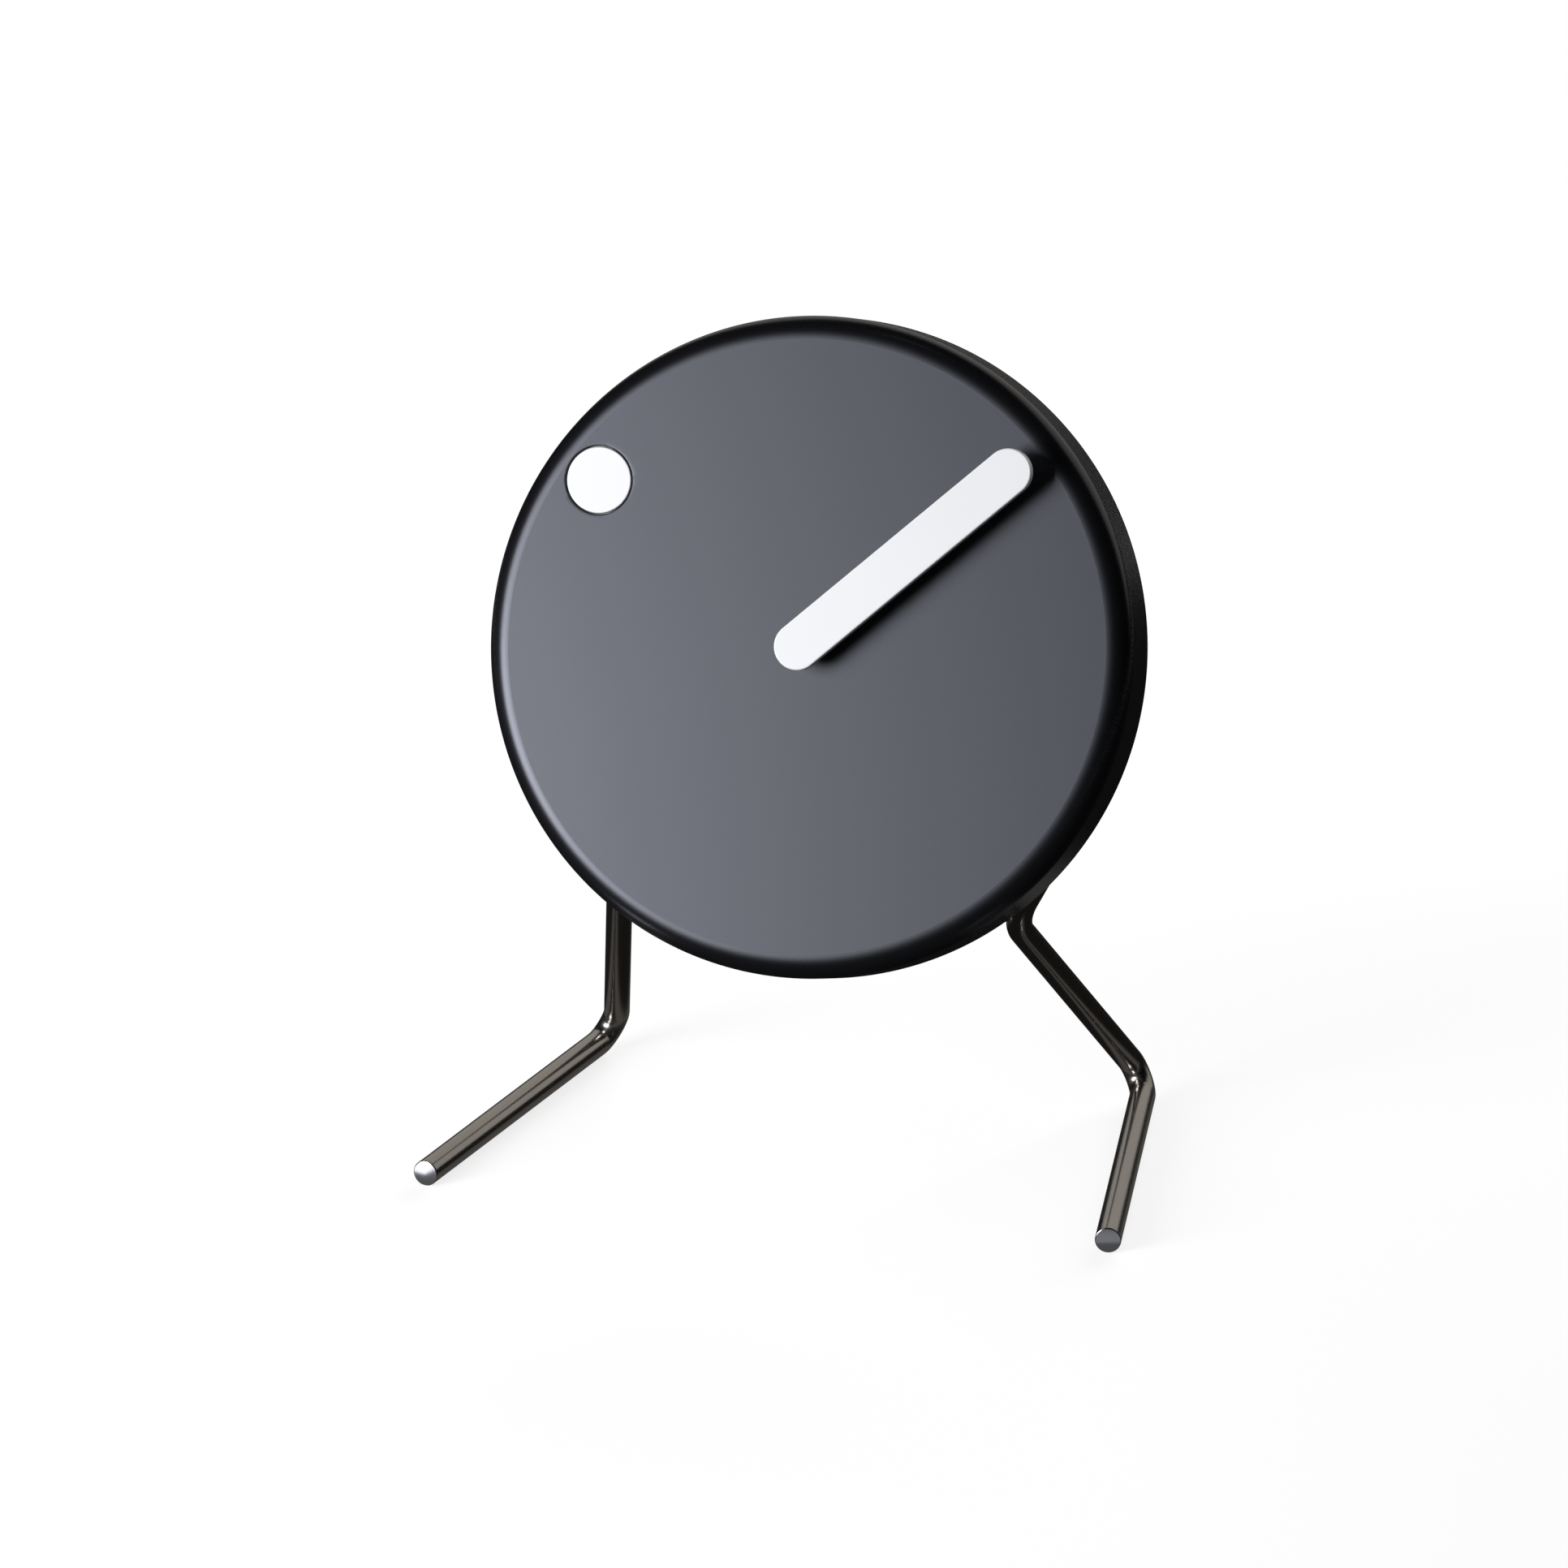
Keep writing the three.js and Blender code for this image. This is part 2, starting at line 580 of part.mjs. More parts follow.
function backCover() {
  const radius = bodyRadius - edgeRadius - runningGap;
  const disc = cylinder(radius, [backZ, coverInnerZ], centreAxis, shellSegments);
  const ribZ = [coverInnerZ - coverThickness / 2, coverInnerZ + coverRibHeight];
  const rib = tube(
    clipScrewRadius + coverRibWidth / 2,
    clipScrewRadius - coverRibWidth / 2,
    ribZ,
    centreAxis,
    shellSegments / 2,
  );
  const bossRadius = screwRadius + clearance + coverBossWall;
  const bosses = clipAngles.map((angle) => cylinder(bossRadius, ribZ, polar(clipScrewRadius, angle)));
  const postZ = [coverInnerZ - coverThickness / 2, movementFrontZ];
  const posts = postAxes.map((at) => cylinder(postRadius, postZ, at));
  const opening = box(
    [-doorHalf - clearance, doorHalf + clearance],
    [hingeY - doorHingeInset - doorHingeGap, doorTopY + clearance],
    [backZ - overrun, coverInnerZ + overrun],
  );
  const lugs = [-1, 1].map((side) => {
    const ends = [side * (doorHalf + clearance), side * (doorHalf + clearance + doorLugLength)];
    return box(
      [Math.min(...ends), Math.max(...ends)],
      [hingeY - doorHingeInset, hingeY + doorHingeInset],
      [coverInnerZ - coverThickness / 2, backZ + doorLugThickness],
    );
  });
  const postHoleZ = [movementFrontZ - bridgeScrewLength - clearance, movementFrontZ + overrun];
  return cut(join([disc, rib, ...bosses, ...posts, ...lugs]), [
    opening,
    cylinder(setterStemRadius + clearance, [backZ - overrun, coverInnerZ + overrun], setterAxis),
    ...clipAngles.map(clipScrewHole),
    ...postAxes.map((at) => cylinder(screwRadius + clearance, postHoleZ, at)),
    ...[-1, 1].map(doorHingeHole),
  ]);
}

function batteryDoor() {
  const shape = new THREE.Shape();
  shape.moveTo(hingeY, backZ);
  shape.lineTo(doorTopY, backZ);
  shape.lineTo(doorTopY, coverInnerZ);
  shape.lineTo(hingeY, coverInnerZ);
  shape.lineTo(hingeY, hingeZ + doorHingeInset);
  shape.absarc(hingeY, hingeZ, doorHingeInset, Math.PI / 2, (3 * Math.PI) / 2, false);
  // drawn as (y, z), extruded along x
  const leaf = new THREE.ExtrudeGeometry(shape, {
    depth: 2 * doorHalf,
    bevelEnabled: false,
    curveSegments: bendSteps,
  });
  const toHead = new THREE.Matrix4().makeBasis(
    new THREE.Vector3(0, 1, 0),
    new THREE.Vector3(0, 0, 1),
    new THREE.Vector3(1, 0, 0),
  );
  const pinHalf = doorHalf + doorPinLength;
  const grips = Array.from({ length: doorGripCount }, (_, i) => {
    const top = doorTopY - (i + 1) * doorGripPitch;
    const sides = [-doorGripLength / 2, doorGripLength / 2];
    return box(sides, [top - doorGripWidth, top], [backZ - doorGripHeight, hingeZ]);
  });
  return join([
    solid(leaf.applyMatrix4(toHead).translate(-doorHalf, 0, 0)),
    alongX(doorPinRadius, [-pinHalf, pinHalf], hingeY, hingeZ, smallSegments / 2),
    ...grips,
  ]);
}

// Movement case

function movementCase() {
  const inside = [-innerHalf, innerHalf];
  const outer = box([-caseHalf, caseHalf], caseHeights, [movementBackZ, tubTopZ]);
  const train = box(inside, [trainBottomY, innerHalf], [floorZ, tubTopZ + overrun]);
  const bay = box(inside, [bayBottomY, bayTopY], [movementBackZ - overrun, tubTopZ + overrun]);
  const pivotHole = (radius, at) => cylinder(radius + clearance, [floorZ - pivotDepth, floorZ + overrun], at);
  const postZ = [floorZ - caseWall / 2, statorZ[0] - clearance];
  const statorPosts = statorEnds().map((at) => cylinder(coilPostRadius, postZ, at));
  return cut(join([outer.subtract(train).subtract(bay), ...statorPosts]), [
    pivotHole(minuteArborRadius, centreAxis),
    pivotHole(thirdArborRadius, thirdAxis),
    pivotHole(rotorArborRadius, rotorAxis),
    cylinder(setterStemRadius + clearance, [movementBackZ - overrun, floorZ + overrun], setterAxis),
  ]);
}

function movementFrontPlate() {
  const lid = box([-caseHalf, caseHalf], caseHeights, [plateBackZ, movementFrontZ]);
  const bush = cylinder(bushRadius, [plateBackZ, nutFrontZ + bushProud]);
  const stud = cylinder(motionStudRadius, [motionWheelZ[0] - clearance, movementFrontZ], motionAxis);
  const holeZ = [plateBackZ - overrun, plateBackZ + pivotDepth];
  const pivotHole = (radius, at) => cylinder(radius + clearance, holeZ, at);
  return cut(join([lid, bush, stud]), [
    cylinder(hourPipeOuter + clearance, [plateBackZ - overrun, nutFrontZ + overrun]),
    pivotHole(thirdArborRadius, thirdAxis),
    pivotHole(rotorArborRadius, rotorAxis),
    pivotHole(setterStemRadius, setterAxis),
  ]);
}

function bridge() {
  const half = bridgeWidth / 2;
  const shape = new THREE.Shape();
  shape.absarc(-postReach, 0, half, Math.PI / 2, (3 * Math.PI) / 2, false);
  shape.absarc(postReach, 0, half, -Math.PI / 2, Math.PI / 2, false);
  const levels = [bridgeBackZ - overrun, bridgeFrontZ + overrun];
  return cut(plate(shape, [bridgeBackZ, bridgeFrontZ], bendSteps), [
    cylinder(bushRadius + clearance, levels),
    ...postAxes.map((at) => cylinder(screwRadius + clearance, levels, at)),
  ]);
}

function bushNut() {
  const corner = nutAcrossFlats / 2 / Math.cos(Math.PI / 6);
  return cylinder(corner, [nutBackZ, nutFrontZ], centreAxis, 6).subtract(
    cylinder(bushRadius + clearance, [nutBackZ - overrun, nutFrontZ + overrun]),
  );
}

// Gears

const addendumShare = 0.8; // of the module
const dedendumShare = 1.1; // of the module
const toothShare = 0.42; // of the tooth pitch, along the pitch circle
const flankSlope = Math.tan(THREE.MathUtils.degToRad(20));

// The angle that puts a gear in mesh with its driver. lineAngle points from the driver's axis to this one's.
function meshAngle(driverAngle, driverTeeth, teeth, lineAngle) {
  return lineAngle + Math.PI - ((driverAngle - lineAngle) * driverTeeth) / teeth + Math.PI / teeth;
}

function gear(teeth, gearModule, levels, at, angle) {
  const radius = pitchRadius(teeth, gearModule);
  const tip = radius + addendumShare * gearModule;
  const root = radius - dedendumShare * gearModule;
  const halfAtPitch = (toothShare * Math.PI * gearModule) / 2;
  const halfAt = (r) => (halfAtPitch - (r - radius) * flankSlope) / radius;
  const shape = new THREE.Shape(
    Array.from({ length: teeth }, (_, i) => {
      const middle = angle + (2 * Math.PI * i) / teeth;
      return [
        polar(root, middle - halfAt(radius - gearModule / 2)),
        polar(tip, middle - halfAt(tip)),
        polar(tip, middle + halfAt(tip)),
        polar(root, middle + halfAt(radius - gearModule / 2)),
      ];
    }).flat(),
  );
  const [from, to] = levels;
  const geometry = new THREE.ExtrudeGeometry(shape, { depth: to - from, bevelEnabled: false });
  return solid(geometry.translate(at.x, at.y, from));
}

const centrePinionAngle = 0;
const motionWheelPhase = meshAngle(centrePinionAngle, centrePinionTeeth, motionWheelTeeth, motionWheelAngle);
const motionPinionPhase = 0;
const backToCentre = motionWheelAngle + Math.PI;
const hourWheelPhase = meshAngle(motionPinionPhase, motionPinionTeeth, hourWheelTeeth, backToCentre);
const setterPhase = meshAngle(motionWheelPhase, motionWheelTeeth, setterTeeth, setterAngle);
const centreWheelPhase = 0;
const thirdPinionPhase = meshAngle(centreWheelPhase, centreWheelTeeth, thirdPinionTeeth, thirdWheelAngle);
const thirdWheelPhase = 0;
const rotorPinionPhase = meshAngle(thirdWheelPhase, thirdWheelTeeth, rotorPinionTeeth, rotorAngle);

function hourWheel() {
  return cut(
    join([
      gear(hourWheelTeeth, motionModule, hourWheelZ, centreAxis, hourWheelPhase),
      cylinder(hourPipeOuter, [hourWheelZ[0], frontZ + hourPipeProud]),
    ]),
    [cylinder(hourPipeInner, [hourWheelZ[0] - overrun, frontZ + hourPipeProud + overrun])],
  );
}

function minuteArbor() {
  return join([
    cylinder(minuteArborRadius, [floorZ - pivotReach, arborTopZ]),
    cylinder(minuteCollarRadius, collarZ),
    gear(centrePinionTeeth, motionModule, centrePinionZ, centreAxis, centrePinionAngle),
  ]);
}

function clutchSpring() {
  const arms = [0, 1, 2].map((i) => {
    const arm = new THREE.BoxGeometry(clutchRadius, clutchArmWidth, clutchThickness);
    arm.translate(clutchRadius / 2, 0, (clutchZ[0] + clutchZ[1]) / 2);
    return solid(arm.rotateZ((i * 2 * Math.PI) / 3));
  });
  const eye = cylinder(minuteArborRadius + clearance + clutchArmWidth / 2, clutchZ);
  return join([eye, ...arms]).subtract(
    cylinder(minuteArborRadius + clearance, [clutchZ[0] - overrun, clutchZ[1] + overrun]),
  );
}

function centreWheel() {
  return gear(centreWheelTeeth, centreModule, centreWheelZ, centreAxis, centreWheelPhase).subtract(
    cylinder(minuteArborRadius + clearance, [centreWheelZ[0] - overrun, centreWheelZ[1] + overrun]),
  );
}

function motionWheel() {
  const boreZ = [motionWheelZ[0] - overrun, motionPinionZ[1] + overrun];
  return join([
    gear(motionWheelTeeth, motionModule, motionWheelZ, motionAxis, motionWheelPhase),
    gear(motionPinionTeeth, motionModule, motionPinionZ, motionAxis, motionPinionPhase),
  ]).subtract(cylinder(motionStudRadius + clearance, boreZ, motionAxis));
}

function thirdWheel() {
  return join([
    gear(thirdWheelTeeth, rotorModule, thirdWheelZ, thirdAxis, thirdWheelPhase),
    gear(thirdPinionTeeth, centreModule, thirdPinionZ, thirdAxis, thirdPinionPhase),
    cylinder(thirdArborRadius, [floorZ - pivotReach, plateBackZ + pivotReach], thirdAxis),
  ]);
}

function rotor() {
  return join([
    gear(rotorPinionTeeth, rotorModule, rotorPinionZ, rotorAxis, rotorPinionPhase),
    cylinder(rotorArborRadius, [floorZ - pivotReach, plateBackZ + pivotReach], rotorAxis),
  ]);
}

function rotorMagnet() {
  return tube(magnetRadius, rotorArborRadius + clearance, magnetZ, rotorAxis);
}

// Setting knob: its stem runs from the front plate, through the gear, the case and the back cover
function settingKnob() {
  const knobFrontZ = backZ - clearance;
  const knobBackZ = knobFrontZ - knobThickness;
  const flutes = Array.from({ length: 4 * knobFlutes }, (_, i) => {
    const wave = 1 - Math.cos((2 * Math.PI * i) / 4);
    return polar(knobRadius - (knobFluteDepth * wave) / 2, (2 * Math.PI * i) / (4 * knobFlutes));
  });
  const grip = plate(new THREE.Shape(flutes), [knobBackZ, knobFrontZ]);
  return join([
    gear(setterTeeth, motionModule, motionWheelZ, setterAxis, setterPhase),
    cylinder(setterStemRadius, [knobBackZ + knobThickness / 2, plateBackZ + pivotReach], setterAxis),
    grip.translate([setterAxis.x, setterAxis.y, 0]),
  ]);
}

// Stepping motor

const statorRight = innerHalf - clearance;
const coilY = innerHalf - clearance - coilRadius;
const coreZ = statorZ[1] + clearance + coilCoreSide / 2;

function statorEnds() {
  const armMiddles = [statorLeft + statorArmWidth / 2, statorRight - statorArmWidth / 2];
  return armMiddles.map((x) => new THREE.Vector2(x, coilY));
}

function stator() {
  const holeRadius = magnetRadius + statorAir;
  const bottom = rotorAxis.y - holeRadius - statorBand;
  const top = rotorAxis.y + holeRadius + statorBand;
  const armTop = coilY + coilRadius;
  const strip = box([statorLeft, statorRight], [bottom, top], statorZ);
  const arms = statorEnds().map(({ x }) =>
    box([x - statorArmWidth / 2, x + statorArmWidth / 2], [bottom, armTop], statorZ),
  );
  return join([strip, ...arms]).subtract(
    cylinder(holeRadius, [statorZ[0] - overrun, statorZ[1] + overrun], rotorAxis),
  );
}

function coilCore() {
  return box([statorLeft, statorRight], [coilY - coilCoreSide / 2, coilY + coilCoreSide / 2], [
    coreZ - coilCoreSide / 2,
    coreZ + coilCoreSide / 2,
  ]);
}

const coilLeft = statorLeft + statorArmWidth + clearance;
const coilRight = statorRight - statorArmWidth - clearance;

function alongX(radius, [from, to], y, z, segments = smallSegments) {
  const geometry = new THREE.CylinderGeometry(radius, radius, to - from, segments).rotateZ(Math.PI / 2);
  return solid(geometry.translate((from + to) / 2, y, z));
}

function coilBobbin() {
  const bore = coilCoreSide / 2 + clearance;
  const sleeveRadius = coilWindingRadius - 2 * clearance;
  const flange = (from) => alongX(coilRadius, [from, from + coilFlangeThickness], coilY, coreZ);
  const hole = box(
    [coilLeft - overrun, coilRight + overrun],
    [coilY - bore, coilY + bore],
    [coreZ - bore, coreZ + bore],
  );
  return join([
    flange(coilLeft),
    flange(coilRight - coilFlangeThickness),
    alongX(sleeveRadius, [coilLeft, coilRight], coilY, coreZ),
  ]).subtract(hole);
}

function coilWinding() {
  const ends = [coilLeft + coilFlangeThickness + clearance, coilRight - coilFlangeThickness - clearance];
  const sleeveRadius = coilWindingRadius - clearance;
  return alongX(coilWindingRadius + clearance / 2, ends, coilY, coreZ).subtract(
    alongX(sleeveRadius, [ends[0] - overrun, ends[1] + overrun], coilY, coreZ),
  );
}

// Circuit

const boardLeft = -innerHalf + clearance;
const boardMiddleX = boardLeft + boardWidth / 2;
const boardZ = [floorZ + clearance, floorZ + clearance + boardThickness];

function circuitBoard() {
  return box([boardLeft, boardLeft + boardWidth], [trainBottomY + clearance, innerHalf - clearance], boardZ);
}

function quartzCrystal() {
  const can = new THREE.CylinderGeometry(crystalRadius, crystalRadius, crystalLength, smallSegments);
  return solid(can.translate(boardMiddleX, innerHalf / 2, boardZ[1] + clearance + crystalRadius));
}

function clockChip() {
  const chipBackZ = boardZ[1] + clearance;
  return cylinder(chipRadius, [chipBackZ, chipBackZ + chipHeight], new THREE.Vector2(boardMiddleX, 0));
}

// Battery and its contacts

const plusX = innerHalf - clearance - contactThickness;
const batteryEnds = [plusX - clearance - batteryLength, plusX - clearance];

function battery() {
  const shoulder = batteryEnds[1] - batteryNubLength;
  return join([
    alongX(batteryRadius, [batteryEnds[0], shoulder], batteryY, batteryZ, 2 * smallSegments),
    alongX(batteryNubRadius, [shoulder - overrun, batteryEnds[1]], batteryY, batteryZ),
  ]);
}

function positiveContact() {
  const half = contactHeight / 2;
  return box(
    [plusX, plusX + contactThickness],
    [batteryY - half, batteryY + half],
    [batteryZ - half, batteryZ + half],
  );
}

// A leaf fixed along the wall, bowed out to the battery's flat end; drawn as (x, y), extruded along z.
function negativeContact() {
  const wallX = -innerHalf + clearance;
  const half = contactHeight / 2;
  const bow = [
    [0, -half],
    [0, -half / 2],
    [contactBow, 0],
    [0, half / 2],
    [0, half],
  ];
  const side = (x) => bow.map(([rise, y]) => new THREE.Vector2(x + rise, batteryY + y));
  const outline = [...side(wallX + contactThickness), ...side(wallX).reverse()];
  return plate(new THREE.Shape(outline), [batteryZ - half, batteryZ + half]);
}

// Assembly

const clock = new THREE.Group();
const standing = new THREE.Group();
clock.add(standing);
const head = new THREE.Group();
head.applyMatrix4(headMatrix);
standing.add(head);

function add(parent, name, body, material) {
  const mesh = new THREE.Mesh(geometryOf(body), material);
  mesh.name = name;
  parent.add(mesh);
}

add(standing, "stand_rod", standRod(), steel);
clipAngles.forEach((angle, i) => {
  const at = polar(clipScrewRadius, angle);
  add(head, `rod_saddle_${clipNames[i]}`, rodSaddle(angle), darkPlastic);
  add(head, `rod_strap_${clipNames[i]}`, rodStrap(angle), zinc);
  add(head, `clip_screw_${clipNames[i]}`, screw(at, tabBackZ - clearance, coverInnerZ, -1), zinc);
});

add(head, "hour_shell", hourShell(), black);
add(head, "hour_dot", hourDot(), white);
add(head, "shell_hub", shellHub(), brass);
add(head, "hour_wheel", hourWheel(), palePlastic);

add(head, "minute_hand", minuteHand(), white);
add(head, "hand_hub", handHub(), brass);
add(head, "minute_arbor", minuteArbor(), brass);
add(head, "clutch_spring", clutchSpring(), steel);

add(head, "back_cover", backCover(), darkPlastic);
add(head, "battery_door", batteryDoor(), darkPlastic);
add(head, "movement_case", movementCase(), darkPlastic);
add(head, "movement_front_plate", movementFrontPlate(), darkPlastic);
add(head, "movement_bridge", bridge(), zinc);
add(head, "bush_nut", bushNut(), brass);
postAxes.forEach((at, i) => {
  const tip = movementFrontZ - bridgeScrewLength;
  add(head, `bridge_screw_${["left", "right"][i]}`, screw(at, bridgeFrontZ + clearance, tip, 1), zinc);
});

add(head, "motion_wheel", motionWheel(), palePlastic);
add(head, "centre_wheel", centreWheel(), brass);
add(head, "third_wheel", thirdWheel(), palePlastic);
add(head, "rotor_pinion", rotor(), palePlastic);
add(head, "rotor_magnet", rotorMagnet(), magnetGrey);
add(head, "setting_knob", settingKnob(), palePlastic);

add(head, "stator", stator(), zinc);
add(head, "coil_core", coilCore(), zinc);
add(head, "coil_bobbin", coilBobbin(), palePlastic);
add(head, "coil_winding", coilWinding(), copper);
add(head, "circuit_board", circuitBoard(), boardGreen);
add(head, "quartz_crystal", quartzCrystal(), zinc);
add(head, "clock_chip", clockChip(), darkPlastic);
add(head, "battery", battery(), cellBlue);
add(head, "positive_contact", positiveContact(), zinc);
add(head, "negative_contact", negativeContact(), zinc);

// The origin lies under the middle of the whole clock, on the plane that it stands on.
const extent = new THREE.Box3().setFromObject(clock);
standing.position.set(-(extent.min.x + extent.max.x) / 2, -(extent.min.y + extent.max.y) / 2, -extent.min.z);

export default clock;
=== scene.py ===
"""A table clock on a bent rod stand: the visible surfaces, their finishes, the studio and the camera."""

import json
import math

import bmesh
import bpy
import numpy as np
from bpy.props import FloatProperty, FloatVectorProperty, PointerProperty
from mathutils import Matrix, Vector

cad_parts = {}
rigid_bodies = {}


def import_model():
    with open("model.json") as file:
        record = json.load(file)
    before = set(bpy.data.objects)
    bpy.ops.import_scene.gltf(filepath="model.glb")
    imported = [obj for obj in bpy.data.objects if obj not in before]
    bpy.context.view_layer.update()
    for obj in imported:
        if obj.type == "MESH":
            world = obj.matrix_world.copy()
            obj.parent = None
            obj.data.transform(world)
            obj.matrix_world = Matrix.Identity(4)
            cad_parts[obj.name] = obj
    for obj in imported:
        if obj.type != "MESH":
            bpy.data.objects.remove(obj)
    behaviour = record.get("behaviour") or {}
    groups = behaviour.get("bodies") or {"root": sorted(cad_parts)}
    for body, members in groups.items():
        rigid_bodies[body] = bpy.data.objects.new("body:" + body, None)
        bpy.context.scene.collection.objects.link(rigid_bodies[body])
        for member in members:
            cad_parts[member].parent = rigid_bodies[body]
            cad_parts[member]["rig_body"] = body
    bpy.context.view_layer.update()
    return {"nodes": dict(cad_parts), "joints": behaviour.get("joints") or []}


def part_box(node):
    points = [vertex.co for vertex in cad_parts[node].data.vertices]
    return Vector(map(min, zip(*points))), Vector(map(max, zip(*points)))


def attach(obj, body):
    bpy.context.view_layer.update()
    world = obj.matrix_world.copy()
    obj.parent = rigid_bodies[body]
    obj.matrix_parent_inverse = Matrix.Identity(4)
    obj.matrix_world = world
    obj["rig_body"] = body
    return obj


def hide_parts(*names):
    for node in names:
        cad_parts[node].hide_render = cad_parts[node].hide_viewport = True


bl_info = {
    "name": "Table clock",
    "version": (1, 0, 0),
    "blender": (4, 5, 0),
    "location": "3D View > Sidebar > Clock",
    "description": "Builds the surfaces and finishes of a table clock round its fixed frame",
    "category": "Object",
}

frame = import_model()

# The head's axes in the row frame: x to the right and y up in the face, z out of the face.
HOUR_TURN = next(joint for joint in frame["joints"] if joint["name"] == "hour_turn")
HEAD_CENTRE = np.array(HOUR_TURN["pos_m"])
HEAD_OUT = -np.array(HOUR_TURN["axis"])
HEAD_RIGHT = np.array([1.0, 0.0, 0.0])
HEAD_UP = np.cross(HEAD_OUT, HEAD_RIGHT)
HEAD_AXES = np.stack([HEAD_RIGHT, HEAD_UP, HEAD_OUT])

BODY_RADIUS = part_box("hour_shell")[1].x
MERGE = 2e-6  # points closer than this are one point
CREASE = math.radians(32)  # edges that turn more than this stay sharp
FLAT_ANGLE = math.radians(0.5)  # faces that turn less than this are joined
ROUND = 96  # points round a turned piece
BODY_ROUND = 288  # points round the body
HOLE_HALF = 8  # steps of those on each side of the dot's hole
DOT_ROUND = 128  # points round the dot
RING_STEPS = 20  # steps across the ring of the face that holds the dot's hole
RING_CLEARANCE = 0.00005  # from that ring to the start of the rounded edge
PATCH_STEPS = 6  # points from the ring's border to the dot's hole
QUARTER_STEPS = 7  # points round a quarter circle of a small edge
SEAT_EDGE = 0.0001  # radius of the corner between the dot and its flange
FLANGE_EDGE = 0.0002  # radius of the flange's edges
HAND_STEPS = 48  # steps round each end of the hand
BEND_STEPS = 16  # steps round each bend of the rod
HOOP_STEPS = 60  # points up half of the rod's hoop


def length(name, description, default):
    """A size in metres that a user may change."""
    return FloatProperty(
        name=name, description=description, default=default, min=0.0, unit="LENGTH", precision=5
    )


def turn(name, description, degrees):
    """An angle that a user may change, given here in degrees."""
    return FloatProperty(
        name=name, description=description, default=math.radians(degrees), subtype="ANGLE"
    )


def colour(name, description, default):
    """A linear colour that a user may change."""
    return FloatVectorProperty(
        name=name, description=description, default=default, size=3, min=0.0, max=1.0, subtype="COLOR"
    )


def strength(name, description, default):
    """A plain number from zero up that a user may change."""
    return FloatProperty(name=name, description=description, default=default, min=0.0)


def offset(name, description, default):
    """A place in metres, to either side of zero, that a user may change."""
    return FloatProperty(
        name=name, description=description, default=default, unit="LENGTH", precision=5
    )


class ClockSizes(bpy.types.PropertyGroup):
    """Sizes of the visible pieces."""

    body_radius: length("Body radius", "Radius of the round body", BODY_RADIUS)
    body_depth: length("Body depth", "Depth of the body from face to back", 0.0231)
    body_edge: length("Body edge", "Radius of the body's rounded edge", 0.0053)
    body_wall: length("Body wall", "Thickness of the shell", 0.0018)
    face_hole: length("Face hole", "Radius of the hole in the middle of the face", 0.0037)
    dot_radius: length("Dot radius", "Radius of the white hour dot", 0.0075)
    dot_gap: length("Dot gap", "Gap between the dot and its hole", 0.0003)
    dot_orbit: length("Dot orbit", "From the middle of the face to the middle of the dot", 0.0615)
    dot_angle: turn("Dot angle", "Direction of the dot, counter-clockwise from the right", 147)
    hole_edge: length("Hole edge", "Radius of the soft edge round the dot's hole", 0.0003)
    hole_margin: length("Hole margin", "Plain face between the dot's hole and its ring", 0.0013)
    dot_edge: length("Dot edge", "Radius of the dot's front edge", 0.0003)
    dot_flange: length("Dot flange", "How far the dot's flange stands out behind the face", 0.0016)
    flange_depth: length("Flange depth", "Thickness of the dot's flange", 0.0008)
    hand_width: length("Hand width", "Width of the minute hand", 0.0107)
    hand_reach: length("Hand reach", "From the pivot to the middle of the round far end", 0.0626)
    hand_gap: length("Hand gap", "From the face to the underside of the hand", 0.006)
    hand_depth: length("Hand depth", "Thickness of the hand", 0.0025)
    hand_edge: length("Hand edge", "Radius of the hand's eased edges", 0.0004)
    hand_angle: turn("Hand angle", "Direction of the hand, counter-clockwise from the right", 43.7)
    rod_radius: length("Rod radius", "Radius of the stand's rod", 0.003)
    rod_end_edge: length("Rod end edge", "Radius of the edge round the rod's cut ends", 0.0003)
    rod_depth: length("Rod depth", "From the body's middle plane back to the hoop", 0.0183)
    hoop_radius: length("Hoop radius", "Radius of the hoop behind the body", 0.067)
    hoop_touch: turn("Hoop touch", "Where the straight runs leave the hoop", -25.7)
    top_bend_run: length("Top bend run", "From the hoop down to the corner of the top bend", 0.0322)
    top_bend: length("Top bend", "Radius of the top bend", 0.0076)
    rear_bend: length("Rear bend", "Radius of the rear bend", 0.005)
    rear_half: length("Rear half width", "Half the distance between the rear bends", 0.0636)
    rear_reach: length("Rear reach", "How far the rear bends lie behind the middle", 0.0526088)
    foot_half: length("Foot half width", "Half the distance between the feet's ends", 0.0801)
    foot_reach: length("Foot reach", "How far the feet's ends lie in front of the middle", 0.0490912)


class ClockColours(bpy.types.PropertyGroup):
    """Colours of the finishes, as linear values."""

    body: colour("Body", "Satin black body", (0.006, 0.0062, 0.0075))
    mark: colour("Mark", "White of the dot and the hand", (0.9, 0.905, 0.91))
    rod: colour("Rod", "Polished steel rod", (0.48, 0.455, 0.43))
    cut_end: colour("Cut end", "Ground ends of the rod", (0.62, 0.63, 0.68))
    dark_plastic: colour("Dark plastic", "Moulded black plastic of the back", (0.012, 0.0125, 0.014))
    pale_plastic: colour("Pale plastic", "Natural plastic of the wheels", (0.72, 0.70, 0.64))
    plated: colour("Plated steel", "Zinc plated steel", (0.56, 0.57, 0.58))
    brass: colour("Brass", "Turned brass", (0.70, 0.46, 0.17))
    copper: colour("Copper", "Lacquered copper wire", (0.62, 0.24, 0.09))
    magnet: colour("Magnet", "Sintered magnet", (0.09, 0.088, 0.092))
    board: colour("Board", "Circuit board", (0.02, 0.11, 0.05))
    cell: colour("Cell", "Sleeve of the battery", (0.04, 0.09, 0.18))


